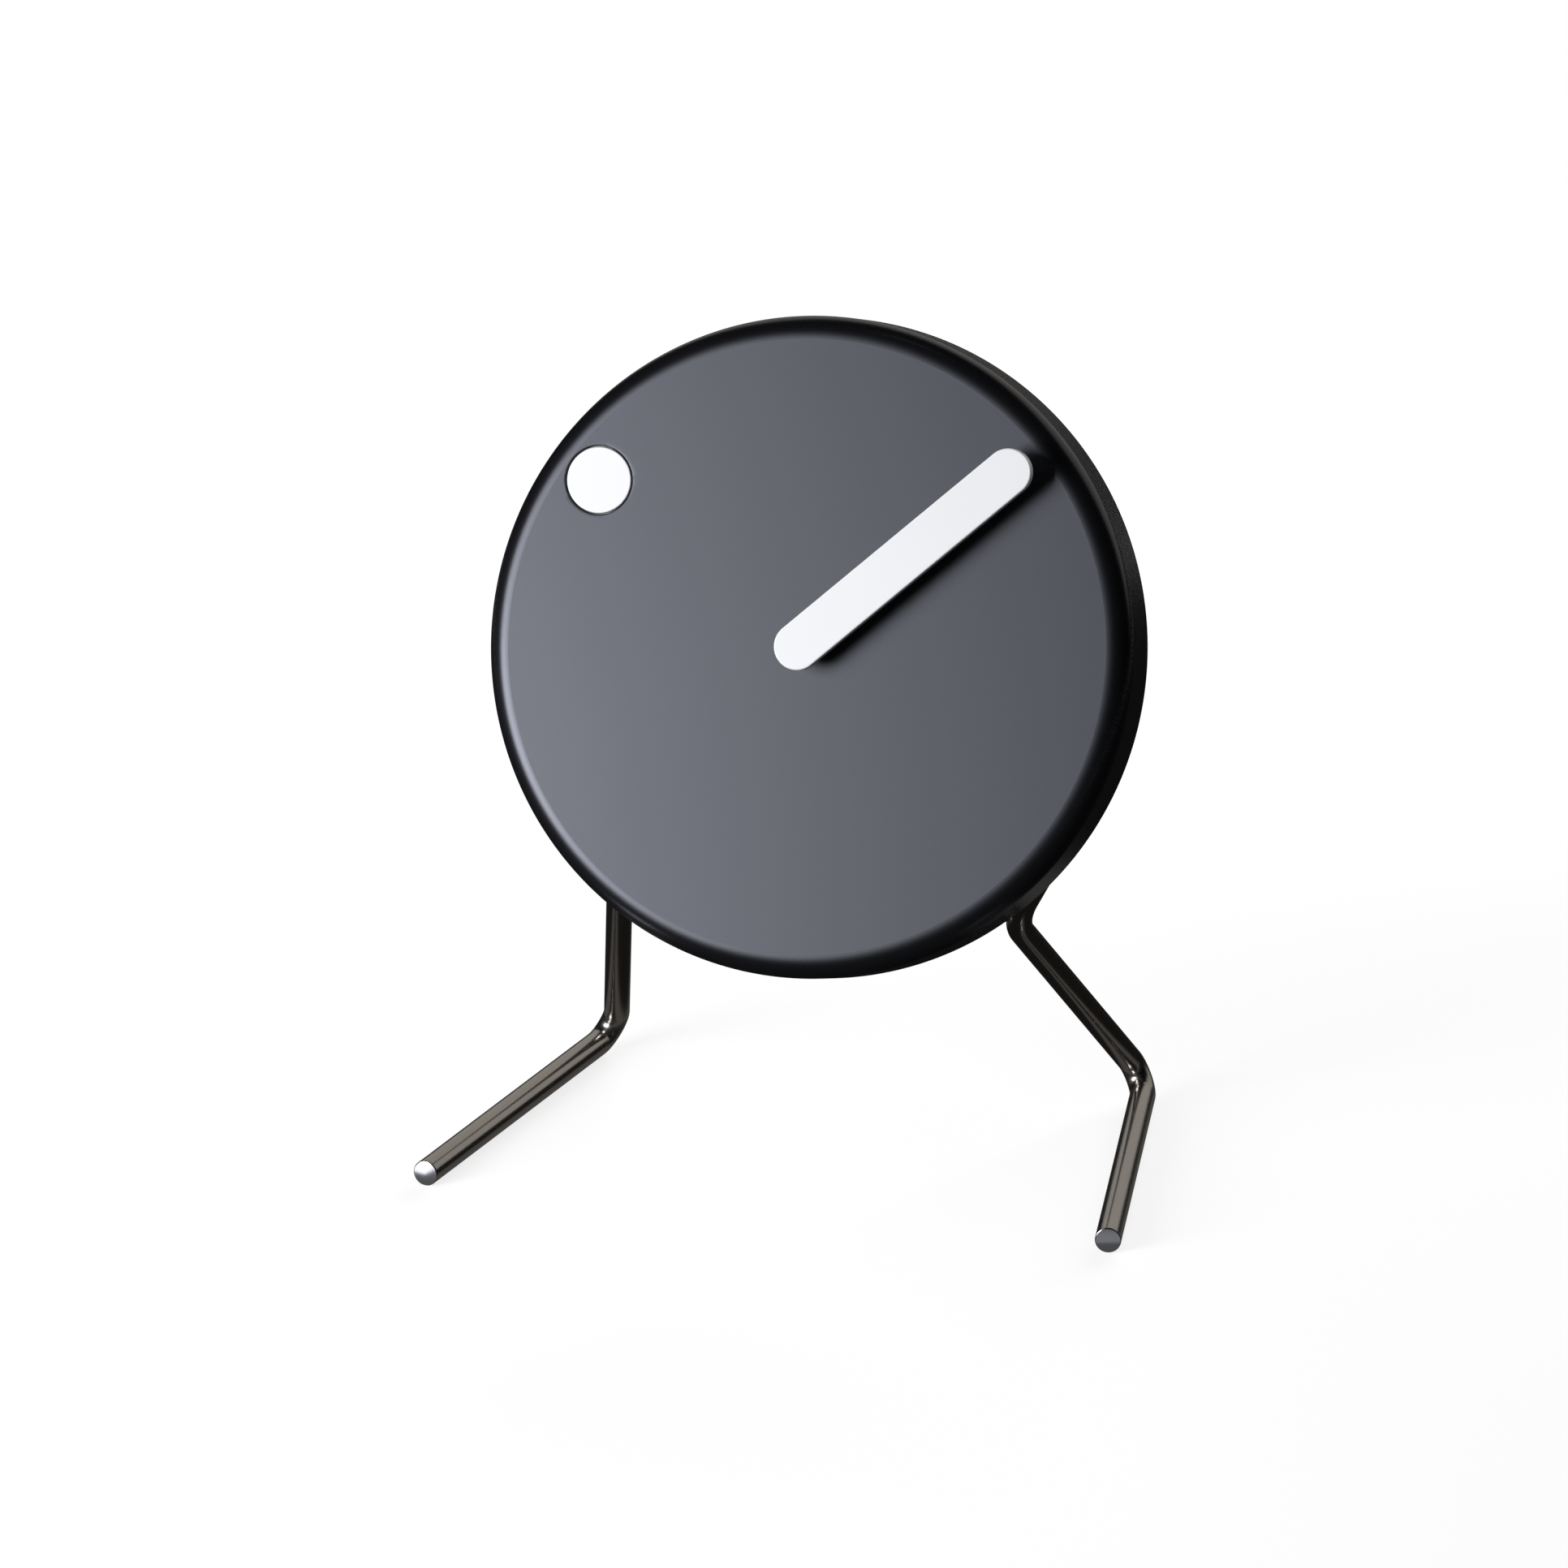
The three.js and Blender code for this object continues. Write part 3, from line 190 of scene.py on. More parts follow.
class ClockStudio(bpy.types.PropertyGroup):
    """Lamps, floor and lens."""

    key: strength("Key lamp", "Power of the broad lamp at the front left, in watts", 6.4)
    low: strength("Low lamp", "Power of the smaller lamp low at the left, in watts", 3.2)
    rear: strength("Rear lamp", "Power of the lamp behind the clock, in watts", 11.0)
    fill: strength("Fill", "Strength of the world's light on the clock", 0.15)
    floor_share: strength("Floor share", "How much of the lit near floor the camera sees", 0.4)
    floor_lift: strength("Floor lift", "Glow of the rest, which makes the unshaded floor white", 1.32)
    # painted reflection: the warm card glows and shows only in gloss, giving the feet a warm reflection
    painted_warm_level: strength("Warm card", "Brightness of the card behind the clock", 0.42)
    # painted highlight: a glowing card before the left foot, seen only in its ground end
    left_end_highlight: strength("Left end card", "Brightness of the card before the left foot", 1.7)
    # painted reflection: a dimmer glowing card before the right foot, seen only in its ground end
    right_end_reflection: strength("Right end card", "Brightness of the card before the right foot", 0.25)
    lamp_tint: colour("Lamp tint", "Light of the lamps in front", (0.965, 0.97, 1.0))
    # painted reflection: colour of the warm card's glow
    painted_warm_reflection: colour("Warm card colour", "Colour of the card behind the clock", (1.0, 0.95, 0.88))
    floor: colour("Floor", "Pale floor", (0.8, 0.8, 0.8))
    # painted shade: the dark near floor that gloss and bounced light see, in place of the floor in the
    # clock's shadow
    painted_shade_floor: colour("Dim floor", "Near floor as gloss sees it", (0.012, 0.0115, 0.011))
    # painted reflection: lighter floor along the feet, which gloss and bounced light see
    painted_foot_reflection: colour("Foot strip", "Floor along the feet as gloss sees it", (0.1, 0.095, 0.09))
    lens: strength("Lens", "Focal length in millimetres", 380.12)
    distance: length("Distance", "From the camera to the middle of the body", 3.75)
    azimuth: turn("Azimuth", "How far the camera stands to the right", 15.1)
    elevation: turn("Elevation", "How far the camera stands above", 19.2)
    aim_right: offset("Aim right", "Aim to the right of the body's middle", -0.00776)
    aim_up: offset("Aim up", "Aim above the body's middle", -0.0309)


# Shapes as arrays


def unit(vectors):
    """Vectors divided by their lengths."""
    return vectors / np.maximum(np.linalg.norm(vectors, axis=-1, keepdims=True), 1e-12)


def bends(corners, radii, steps=10):
    """Points along a line through corners that are rounded to the given radii.
    A corner with turn t is cut back by r tan(t/2) on both sides. From there the arc at angle a is
    start + r sin(a) along the way in + r (1 - cos(a)) along the side that the way out turns to."""
    points = np.asarray(corners, float)
    into = unit(points - np.roll(points, 1, 0))
    out = np.roll(into, -1, 0)
    cosine = np.clip((into * out).sum(-1, keepdims=True), -1, 1)
    turns = np.arccos(cosine)
    side = unit(out - cosine * into)
    radius = np.asarray(radii, float)[:, None]
    start = points - into * radius * np.tan(turns / 2)
    angle = turns[:, None] * np.linspace(0, 1, steps + 1)[None, :, None]
    arc = radius[:, None] * (np.sin(angle) * into[:, None] + (1 - np.cos(angle)) * side[:, None])
    return (start[:, None] + arc).reshape(-1, points.shape[1])


def grid_faces(rows, columns, wrap_rows=False, wrap_columns=False):
    """Quads of a grid of points: each joins two neighbours in a row to the two beside them in the next."""
    row = np.arange(rows if wrap_rows else rows - 1)[:, None]
    column = np.arange(columns if wrap_columns else columns - 1)[None, :]
    next_row, next_column = (row + 1) % rows, (column + 1) % columns
    corners = [
        row * columns + column,
        row * columns + next_column,
        next_row * columns + next_column,
        next_row * columns + column,
    ]
    return np.stack(np.broadcast_arrays(*corners), -1)


def around(segments, start=0.0):
    """Angles of a full turn in equal steps."""
    return start + np.linspace(0, 2 * np.pi, segments, endpoint=False)


def turned(profile, centre=(0.0, 0.0), segments=ROUND, start=0.0, closed=True):
    """A profile of (radius, height) turned about an upright axis: (r cos a, r sin a, h) at angle a."""
    profile = np.asarray(profile, float)
    angle = around(segments, start)[None, :]
    radius, height = profile[:, :1], profile[:, 1:2]
    x = centre[0] + radius * np.cos(angle)
    y = centre[1] + radius * np.sin(angle)
    points = np.stack([x, y, np.broadcast_to(height, x.shape)], -1)
    faces = grid_faces(len(profile), segments, wrap_rows=closed, wrap_columns=True)
    return points.reshape(-1, 3), faces.reshape(-1, 4)


def from_head(points):
    """Points in the head's axes, put in the row frame."""
    return HEAD_CENTRE + points @ HEAD_AXES


def swept(path, tangents, radius, sides=56):
    """A round rod along a path. The ring at each station lies in the plane square to its tangent t, at
    angle a: path + r (u cos a + v sin a), with u across t and the face's outward direction, and v across
    t and u."""
    across = unit(np.cross(tangents, HEAD_OUT))
    beside = np.cross(tangents, across)
    angle = around(sides)[None, :, None]
    ring = across[:, None] * np.cos(angle) + beside[:, None] * np.sin(angle)
    points = path[:, None] + radius[:, None, None] * ring
    return points.reshape(-1, 3), grid_faces(len(path), sides, wrap_columns=True).reshape(-1, 4)


# Pieces


def piece(name, parts, body, finish, replaces=(), crease=CREASE):
    """One closed object of parts in the row frame. Each part is (points, faces). Doubles are merged,
    faces point outwards, and the normals of broad faces hold next to narrow ones."""
    counts = np.cumsum([0] + [len(points) for points, _ in parts])
    points = np.concatenate([points for points, _ in parts])
    faces = np.concatenate([faces + start for (_, faces), start in zip(parts, counts)])
    mesh = bpy.data.meshes.new(name)
    mesh.from_pydata(points, [], faces)
    grid = bmesh.new()
    grid.from_mesh(mesh)
    bmesh.ops.remove_doubles(grid, verts=grid.verts, dist=MERGE)
    bmesh.ops.dissolve_degenerate(grid, edges=grid.edges, dist=MERGE / 2)
    bmesh.ops.recalc_face_normals(grid, faces=grid.faces)
    open_edges = sum(not edge.is_manifold for edge in grid.edges)
    if open_edges:
        raise RuntimeError(f"{name} has {open_edges} open or doubled edges")
    grid.to_mesh(mesh)
    grid.free()
    return dress(name, mesh, body, finish, replaces, crease)


def dress(name, mesh, body, finish, replaces, crease):
    """An object of this mesh, smooth but for its creases, with its finish and body; the nodes it replaces
    are hidden.
    """
    mesh.shade_smooth()
    mesh.set_sharp_from_angle(angle=crease)
    made = bpy.data.objects.new(name, mesh)
    bpy.context.scene.collection.objects.link(made)
    mesh.materials.append(finish)
    weighted = made.modifiers.new("even_normals", "WEIGHTED_NORMAL")
    weighted.keep_sharp = True
    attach(made, body)
    if replaces:
        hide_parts(*replaces)
    return made


def eased(node, finish, edge):
    """A merged copy of a CAD node, its flat faces joined and its edges eased by a small bevel."""
    mesh = frame["nodes"][node].data.copy()
    mesh.name = node + "_surface"
    mesh.materials.clear()
    grid = bmesh.new()
    grid.from_mesh(mesh)
    bmesh.ops.remove_doubles(grid, verts=grid.verts, dist=MERGE)
    bmesh.ops.dissolve_limit(
        grid, angle_limit=FLAT_ANGLE, verts=grid.verts, edges=grid.edges
    )
    grid.to_mesh(mesh)
    grid.free()
    body = frame["nodes"][node]["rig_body"]
    made = dress(node + "_surface", mesh, body, finish, (node,), CREASE)
    bevel = made.modifiers.new("eased_edges", "BEVEL")
    bevel.width = edge
    bevel.segments = 2
    bevel.limit_method = "ANGLE"
    bevel.angle_limit = CREASE
    bevel.use_clamp_overlap = True
    made.modifiers.move(made.modifiers.find("eased_edges"), 0)
    return made


# Finishes


class Value:
    """A number socket. Python operators on it add Math nodes."""

    def __init__(self, nodes, socket):
        self.nodes = nodes
        self.socket = socket

    def maths(self, operation, *operands):
        return self.nodes.add("ShaderNodeMath", {"operation": operation}, dict(enumerate(operands)))

    def __add__(self, other):
        return self.maths("ADD", self, other)

    def __sub__(self, other):
        return self.maths("SUBTRACT", self, other)

    def __rsub__(self, other):
        return self.maths("SUBTRACT", other, self)

    def __mul__(self, other):
        return self.maths("MULTIPLY", self, other)

    def __pow__(self, other):
        return self.maths("POWER", self, other)

    def __abs__(self):
        return self.maths("ABSOLUTE", self)

    def between(self, low, high):
        """Smooth step: 0 below low, 1 above high."""
        settings = {"interpolation_type": "SMOOTHSTEP"}
        return self.nodes.add("ShaderNodeMapRange", settings, {"Value": self, 1: low, 2: high})

    __radd__ = __add__
    __rmul__ = __mul__


class Nodes:
    """The nodes of a material or a world. add() puts in any node and gives one of its outputs."""

    def __init__(self, owner):
        owner.use_nodes = True
        self.tree = owner.node_tree
        self.tree.nodes.clear()

    def add(self, kind, settings=None, values=None, output=0):
        """A node of this type. Its settings come first, then the values or links of its sockets."""
        node = self.tree.nodes.new(kind)
        for key, value in (settings or {}).items():
            setattr(node, key, value)
        for key, value in (values or {}).items():
            if isinstance(value, Value):
                self.tree.links.new(value.socket, node.inputs[key])
            else:
                node.inputs[key].default_value = value
        return Value(self, node.outputs[output] if node.outputs else None)

    def seen_rays(self):
        """The share of camera rays, and of camera, glossy and transmission rays together. The light that
        falls on things is in neither."""
        kinds = ("Is Camera Ray", "Is Glossy Ray", "Is Transmission Ray")
        camera, glossy, through = (self.add("ShaderNodeLightPath", output=kind) for kind in kinds)
        return camera, glossy + through + camera

    def mix(self, share, first, second):
        """Two numbers mixed by a share from 0 to 1."""
        return self.add("ShaderNodeMix", {"data_type": "FLOAT"}, {0: share, 2: first, 3: second})

    def glow(self, tone, level):
        """Plain light of this colour and strength."""
        return self.add("ShaderNodeEmission", None, {"Color": tone, "Strength": level})

    def matt(self, tone):
        """A plain matt surface."""
        return self.add("ShaderNodeBsdfDiffuse", None, {"Color": tone})

    def vector(self, operation, *operands, output=0):
        """One step of vector arithmetic."""
        values = dict(enumerate(operands))
        return self.add("ShaderNodeVectorMath", {"operation": operation}, values, output)

    def between_shaders(self, share, first, second):
        """Two shaders mixed by a share from 0 to 1."""
        return self.add("ShaderNodeMixShader", None, {0: share, 1: first, 2: second})


class Finish(Nodes):
    """A material, named here, with the main shader's constants. done() gives it its varying values."""

    def __init__(self, name, **constants):
        self.material = bpy.data.materials.new(name)
        super().__init__(self.material)
        self.constants = {socket.replace("_", " "): value for socket, value in constants.items()}

    def done(self, **varying):
        """The finished material, its main shader fed with the values that vary over the surface."""
        values = {socket.replace("_", " "): value for socket, value in varying.items()}
        return self.show(self.add("ShaderNodeBsdfPrincipled", None, {**self.constants, **values}))

    def show(self, shader):
        """The finished material, with this shader as its surface."""
        self.add("ShaderNodeOutputMaterial", None, {"Surface": shader})
        return self.material

    def axes(self, point):
        """The x, y and z of a point."""
        return [self.add("ShaderNodeSeparateXYZ", None, {0: point}, output=axis) for axis in range(3)]

    def place(self, stretch=(1.0, 1.0, 1.0)):
        """The point in the row frame, scaled along each axis."""
        point = self.add("ShaderNodeTexCoord", output=3)
        return self.add("ShaderNodeMapping", None, {"Vector": point, "Scale": stretch})

    def noise(self, scale, detail=2.0, rough=0.5, stretch=(1.0, 1.0, 1.0)):
        """Cloudy noise from 0 to 1; scale is in cells per metre."""
        values = {"Vector": self.place(stretch), "Scale": scale, "Detail": detail, "Roughness": rough}
        return self.add("ShaderNodeTexNoise", None, values)

    def blend(self, share, first, second):
        """Colours mixed by a share from 0 to 1."""
        values = {0: share, 6: first, 7: second}
        return self.add("ShaderNodeMix", {"data_type": "RGBA"}, values, output=2)

    def bump(self, height, depth, share=1.0):
        """The normal of a surface whose height goes from 0 to 1 over this depth in metres."""
        values = {"Height": height, "Distance": depth, "Strength": share}
        return self.add("ShaderNodeBump", None, values)


WHITE = (1.0, 1.0, 1.0, 1.0)
POLE_BAND = (0.0236, 0.0238)  # x where the battery's film ends
LABEL_BAND = (0.0125, 0.0126)  # x where its second colour starts
RIM_BAND = (0.0008, 0.0028)  # outwards from the flat face, where the body's polish rises
BENT_BAND = (0.00006, 0.0002)  # squared distances from a rear bend, where its duller surface ends
CUT_BAND = (-0.00012, -0.00002)  # in front of the plane of a foot's end, where the ground end starts


def rgba(value, gain=1.0):
    """A linear colour with full alpha, made lighter or darker by a gain."""
    return (*(min(1.0, channel * gain) for channel in value), 1.0)


def satin_body(colours):
    """Satin black plastic: fine spark-eroded grain, faint clouding, and a rim that is more polished than
    the face. The share of rim goes from 0 to 1 over RIM_BAND, counted outwards from the flat face."""
    sizes = bpy.context.scene.clock_sizes
    finish = Finish("satin_black", Specular_IOR_Level=0.9, Specular_Tint=(0.85, 0.88, 1.0, 1.0))
    point = finish.add("ShaderNodeTexCoord", output=3)
    arm = finish.vector("CROSS_PRODUCT", finish.vector("SUBTRACT", point, HEAD_CENTRE), HEAD_OUT)
    flat = sizes.body_radius - sizes.body_edge
    rim = finish.vector("LENGTH", arm, output=1).between(flat + RIM_BAND[0], flat + RIM_BAND[1])
    cloud = finish.noise(22, 3.0)
    grain = finish.noise(2600, 2.0, 0.6)
    fleck = finish.noise(900, 3.0).between(0.62, 0.72)
    tone = finish.blend(cloud, rgba(colours.body, 0.85), rgba(colours.body, 1.15))
    tone = finish.blend(fleck * 0.25, tone, rgba(colours.body, 1.6))
    rough = 0.38 - rim * 0.14 + cloud * 0.03 + grain * 0.04
    return finish.done(
        Base_Color=tone, Roughness=rough, Normal=finish.bump(grain, 0.00001, 0.4)
    )


def white_lacquer(colours):
    """White lacquer with an even fine orange peel."""
    finish = Finish("white_lacquer", Specular_IOR_Level=0.4)
    peel = finish.noise(1400, 2.0)
    cloud = finish.noise(40, 2.0)
    tone = finish.blend(cloud, rgba(colours.mark, 0.985), rgba(colours.mark, 1.01))
    return finish.done(
        Base_Color=tone, Roughness=0.46 + peel * 0.06, Normal=finish.bump(peel, 0.00001, 0.5)
    )


def foot_line():
    """The end of the right foot's middle line, seen from above, and the line's direction towards it."""
    sizes = bpy.context.scene.clock_sizes
    foot = np.array([sizes.foot_half, -sizes.foot_reach])
    return foot, unit(foot - [sizes.rear_half, sizes.rear_reach])


def polished_rod(colours):
    """Polished steel rod with faint drawing lines and tiny specks, duller round the rear bends. Its cut
    ends are ground: their share goes from 0 to 1 just behind the plane of each end, square to its foot."""
    finish = Finish("polished_steel", Metallic=1.0)
    point = finish.add("ShaderNodeTexCoord", output=3)
    x, y, z = finish.axes(point)
    sizes = bpy.context.scene.clock_sizes
    foot, along = foot_line()
    side, back = abs(x) - sizes.rear_half, y - sizes.rear_reach
    bent = 1 - (side * side + back * back + z * z).between(*BENT_BAND)
    cut = (abs(x) * along[0] + y * along[1] - along @ foot).between(*CUT_BAND)
    lines = finish.noise(1800, 3.0, 0.6, (1.0, 0.05, 0.3))
    speck = finish.noise(3200, 2.0).between(0.66, 0.74)
    cloud = finish.noise(60, 2.0)
    tone = finish.blend(cloud, rgba(colours.rod, 0.94), rgba(colours.rod, 1.04))
    tone = finish.blend(speck * 0.4, tone, rgba(colours.rod, 0.6))
    tone = finish.blend(cut, tone, rgba(colours.cut_end))
    rough = 0.18 + bent * 0.14 + cloud * 0.03 + lines * 0.04 + speck * 0.04
    normal = finish.bump(lines, 0.000002, 0.3)
    return finish.done(Base_Color=tone, Roughness=rough, Normal=normal)


def moulded_plastic(name, tone, rough, grain_depth=0.00002):
    """Moulded plastic: fine grain and slightly uneven gloss."""
    finish = Finish(name, Specular_IOR_Level=0.5)
    grain = finish.noise(1500, 3.0, 0.6)
    cloud = finish.noise(45, 3.0)
    shade = finish.blend(cloud, rgba(tone, 0.82), rgba(tone, 1.18))
    return finish.done(
        Base_Color=shade,
        Roughness=(rough - 0.05) + cloud * 0.06 + grain * 0.06,
        Normal=finish.bump(grain, grain_depth, 0.6),
    )


def turned_metal(name, tone, rough, lines=900.0, spread=0.12):
    """Machined or plated metal: clouded colour, fine tool marks and uneven gloss."""
    finish = Finish(name, Metallic=1.0)
    marks = finish.noise(lines, 4.0, 0.65, (1.0, 0.25, 0.25))
    cloud = finish.noise(140, 3.0)
    shade = finish.blend(cloud, rgba(tone, 1 - spread), rgba(tone, 1 + spread))
    return finish.done(
        Base_Color=shade,
        Roughness=rough + marks * 0.14 + cloud * 0.05,
        Normal=finish.bump(marks, 0.000012, 0.5),
    )


def wound_copper(colours):
    """Lacquered copper wire: turns side by side along x, each 0.12 mm, darker between the turns as painted
    shade.
    """
    finish = Finish("wound_copper", Metallic=1.0, Coat_Weight=0.4)
    wave = finish.add(
        "ShaderNodeTexWave",
        {"wave_type": "BANDS", "bands_direction": "X", "wave_profile": "SIN"},
        {"Vector": finish.place(), "Scale": 1300.0, "Distortion": 0.4, "Detail": 1.0},
        output=1,
    )
    # painted shade: the colour darkens to a third between the turns, in the grooves
    shade = finish.blend(wave, rgba(colours.copper, 0.35), rgba(colours.copper, 1.15))
    return finish.done(Base_Color=shade, Roughness=0.42 - wave * 0.12, Normal=finish.bump(wave, 0.00004))


def printed_board(colours):
    """Green lacquered board with paler tracks under the lacquer."""
    finish = Finish("printed_board", Coat_Weight=0.5, Specular_IOR_Level=0.5)
    cells = finish.add(
        "ShaderNodeTexVoronoi",
        {"feature": "DISTANCE_TO_EDGE", "distance": "CHEBYCHEV"},
        {"Vector": finish.place((1.0, 0.6, 0.6)), "Scale": 420.0},
    )
    track = 1 - cells.between(0.05, 0.09)
    shade = finish.blend(track, rgba(colours.board), rgba(colours.board, 2.0))
    normal = finish.bump(track, 0.00003, 0.6)
    return finish.done(Base_Color=shade, Roughness=0.42 - track * 0.1, Normal=normal)


def cell_sleeve(colours):
    """Battery sleeve: printed film on most of the length, bare steel at the pole."""
    finish = Finish("cell_sleeve", Coat_Weight=0.3)
    point = finish.add("ShaderNodeTexCoord", output=3)
    along = finish.add("ShaderNodeSeparateXYZ", None, {0: point})
    bare = along.between(*POLE_BAND)
    band = along.between(*LABEL_BAND)
    cloud = finish.noise(300, 3.0)
    film = finish.blend(band, rgba(colours.cell), rgba(colours.plated, 0.8))
    film = finish.blend(cloud * 0.2, film, rgba(colours.cell, 1.6))
    shade = finish.blend(bare, film, rgba(colours.plated))
    rough = 0.38 - bare * 0.1 + cloud * 0.08
    return finish.done(Base_Color=shade, Metallic=bare * 0.8 + band * 0.2, Roughness=rough)


FINISHES = {
    "polished_rod": polished_rod,
    "black_shell": satin_body,
    "white_mark": white_lacquer,
    "dark_plastic": lambda c: moulded_plastic("dark_moulding", c.dark_plastic, 0.52),
    "pale_plastic": lambda c: moulded_plastic("pale_moulding", c.pale_plastic, 0.45, 0.00001),
    "plated_steel": lambda c: turned_metal("zinc_plate", c.plated, 0.26),
    "brass": lambda c: turned_metal("turned_brass", c.brass, 0.22, 1400.0),
    "copper_wire": wound_copper,
    "magnet": lambda c: turned_metal("sintered_magnet", c.magnet, 0.45, 2600.0, 0.2),
    "board": printed_board,
    "cell": cell_sleeve,
}
MADE_FINISHES = {}


def finish_for(slot):
    """The finish of a slot, made once."""
    if slot not in MADE_FINISHES:
        MADE_FINISHES[slot] = FINISHES[slot](bpy.context.scene.clock_colours)
    return MADE_FINISHES[slot]


# One operator for each piece or group of like pieces


class CLOCK_OT_body(bpy.types.Operator):
    """Builds the round shell with its face, rounded edge, dot hole and open back."""

    bl_idname = "clock.body"
    bl_label = "Round body"

    def execute(self, context):
        s = context.scene.clock_sizes
        front, wall, edge = s.body_depth / 2, s.body_wall, s.body_edge
        flat = s.body_radius - edge
        inner_edge = edge - wall
        small = s.hole_edge / 2
        # the face's ring that holds the dot hole, between two radii that the profile also steps through
        hole = s.dot_radius + s.dot_gap
        low, high = s.dot_orbit - hole - s.hole_margin, flat - RING_CLEARANCE
        steps = RING_STEPS
        ring = np.linspace(low, high, steps + 1)
        outer_ring = np.stack([ring, np.full_like(ring, front)], -1)
        inner_ring = np.stack([ring[::-1], np.full_like(ring, front - wall)], -1)
        outer = bends(
            [
                (high, front),
                (s.body_radius, front),
                (s.body_radius, -front),
                (flat, -front),
                (flat, wall - front),
                (s.body_radius - wall, wall - front),
                (s.body_radius - wall, front - wall),
                (high, front - wall),
            ],
            [0, edge, edge, small, small, inner_edge, inner_edge, 0],
            18,
        )
        hub = bends(
            [
                (low, front - wall),
                (s.face_hole, front - wall),
                (s.face_hole, front),
                (low, front),
            ],
            [0, small, small, 0],
            6,
        )
        profile = np.concatenate([outer_ring, outer, inner_ring, hub])
        segments, half = BODY_ROUND, HOLE_HALF
        start = s.dot_angle - 2 * np.pi * half / segments
        points, faces = turned(profile, segments=segments, start=start)
        # leave out the cells of both rings over the dot hole's sector, and fill them round the hole
        rows = np.arange(len(profile))[:, None]
        columns = np.arange(segments)[None, :]
        inner_start = len(outer_ring) + len(outer)
        on_ring = (rows < steps) | ((rows >= inner_start) & (rows < inner_start + steps))
        keep = ~(on_ring & (columns < 2 * half))
        faces = faces.reshape(len(profile), segments, 4)[keep]
        parts = [(points, faces), dot_hole_patch(s, ring, start, segments, half, hole)]
        parts = [(from_head(points), faces) for points, faces in parts]
        finish = finish_for("black_shell")
        piece("round_body", parts, "hour_dial", finish, ("hour_shell",))
        return {"FINISHED"}


def dot_hole_patch(s, ring, start, segments, half, hole):
    """The face round the dot hole, from a sector of the ring in to the hole, down its wall and out again.
    Round the hole goes one parameter u. The other goes from the sector's border to a circle, both at u,
    then along a quarter circle into the hole, down, and back to the border on the inside of the face."""
    step = 2 * np.pi / segments
    across = start + step * np.arange(2 * half + 1)
    low, high = np.full(2 * half, ring[0]), np.full(2 * half, ring[-1])
    ends = np.full(len(ring) - 1, 1.0)
    radius = np.concatenate([low, ring[:-1], high, ring[:0:-1]])
    angle = np.concatenate([across[:-1], ends * across[-1], across[:0:-1], ends * across[0]])
    border = np.stack([radius * np.cos(angle), radius * np.sin(angle)], -1)
    centre = s.dot_orbit * np.array([np.cos(s.dot_angle), np.sin(s.dot_angle)])
    away = unit(border - centre)
    front, back = s.body_depth / 2, s.body_depth / 2 - s.body_wall
    share = np.linspace(0, 1, PATCH_STEPS)[:, None, None]
    rim = centre + away * (hole + s.hole_edge)
    top = border * (1 - share) + rim * share
    turn_in = np.linspace(0, np.pi / 2, QUARTER_STEPS)[1:, None, None]
    edge = centre + away * (hole + s.hole_edge * (1 - np.sin(turn_in)))
    edge_height = (front - s.hole_edge * (1 - np.cos(turn_in[:, 0, 0])))[:, None]
    wall = np.broadcast_to(centre + away * hole, (1, len(border), 2))
    bottom = border * share + (centre + away * hole) * (1 - share)
    flat = np.concatenate([top, edge, wall, bottom[1:]])
    heights = np.concatenate(
        [np.full((PATCH_STEPS, 1), front), edge_height, np.full((PATCH_STEPS, 1), back)]
    )
    height = np.broadcast_to(heights[:, :, None], (*flat.shape[:2], 1))
    points = np.concatenate([flat, height], -1)
    return points.reshape(-1, 3), grid_faces(len(flat), len(border), wrap_columns=True).reshape(-1, 4)


class CLOCK_OT_dot(bpy.types.Operator):
    """Builds the white hour dot, flush in its hole, with the flange that holds it behind the face."""

    bl_idname = "clock.dot"
    bl_label = "Hour dot"

    def execute(self, context):
        s = context.scene.clock_sizes
        front = s.body_depth / 2
        seat = front - s.body_wall - s.dot_gap
        flange, back = s.dot_radius + s.dot_flange, seat - s.flange_depth
        corners = [
            (0, front),
            (s.dot_radius, front),
            (s.dot_radius, seat),
            (flange, seat),
            (flange, back),
            (0, back),
        ]
        profile = bends(corners, [0, s.dot_edge, SEAT_EDGE, FLANGE_EDGE, FLANGE_EDGE, 0], 6)
        centre = s.dot_orbit * np.array([np.cos(s.dot_angle), np.sin(s.dot_angle)])
        points, faces = turned(profile, centre, DOT_ROUND, closed=False)
        parts = [(from_head(points), faces)]
        finish = finish_for("white_mark")
        piece("hour_dot_inlay", parts, "hour_dial", finish, ("hour_dot",))
        return {"FINISHED"}


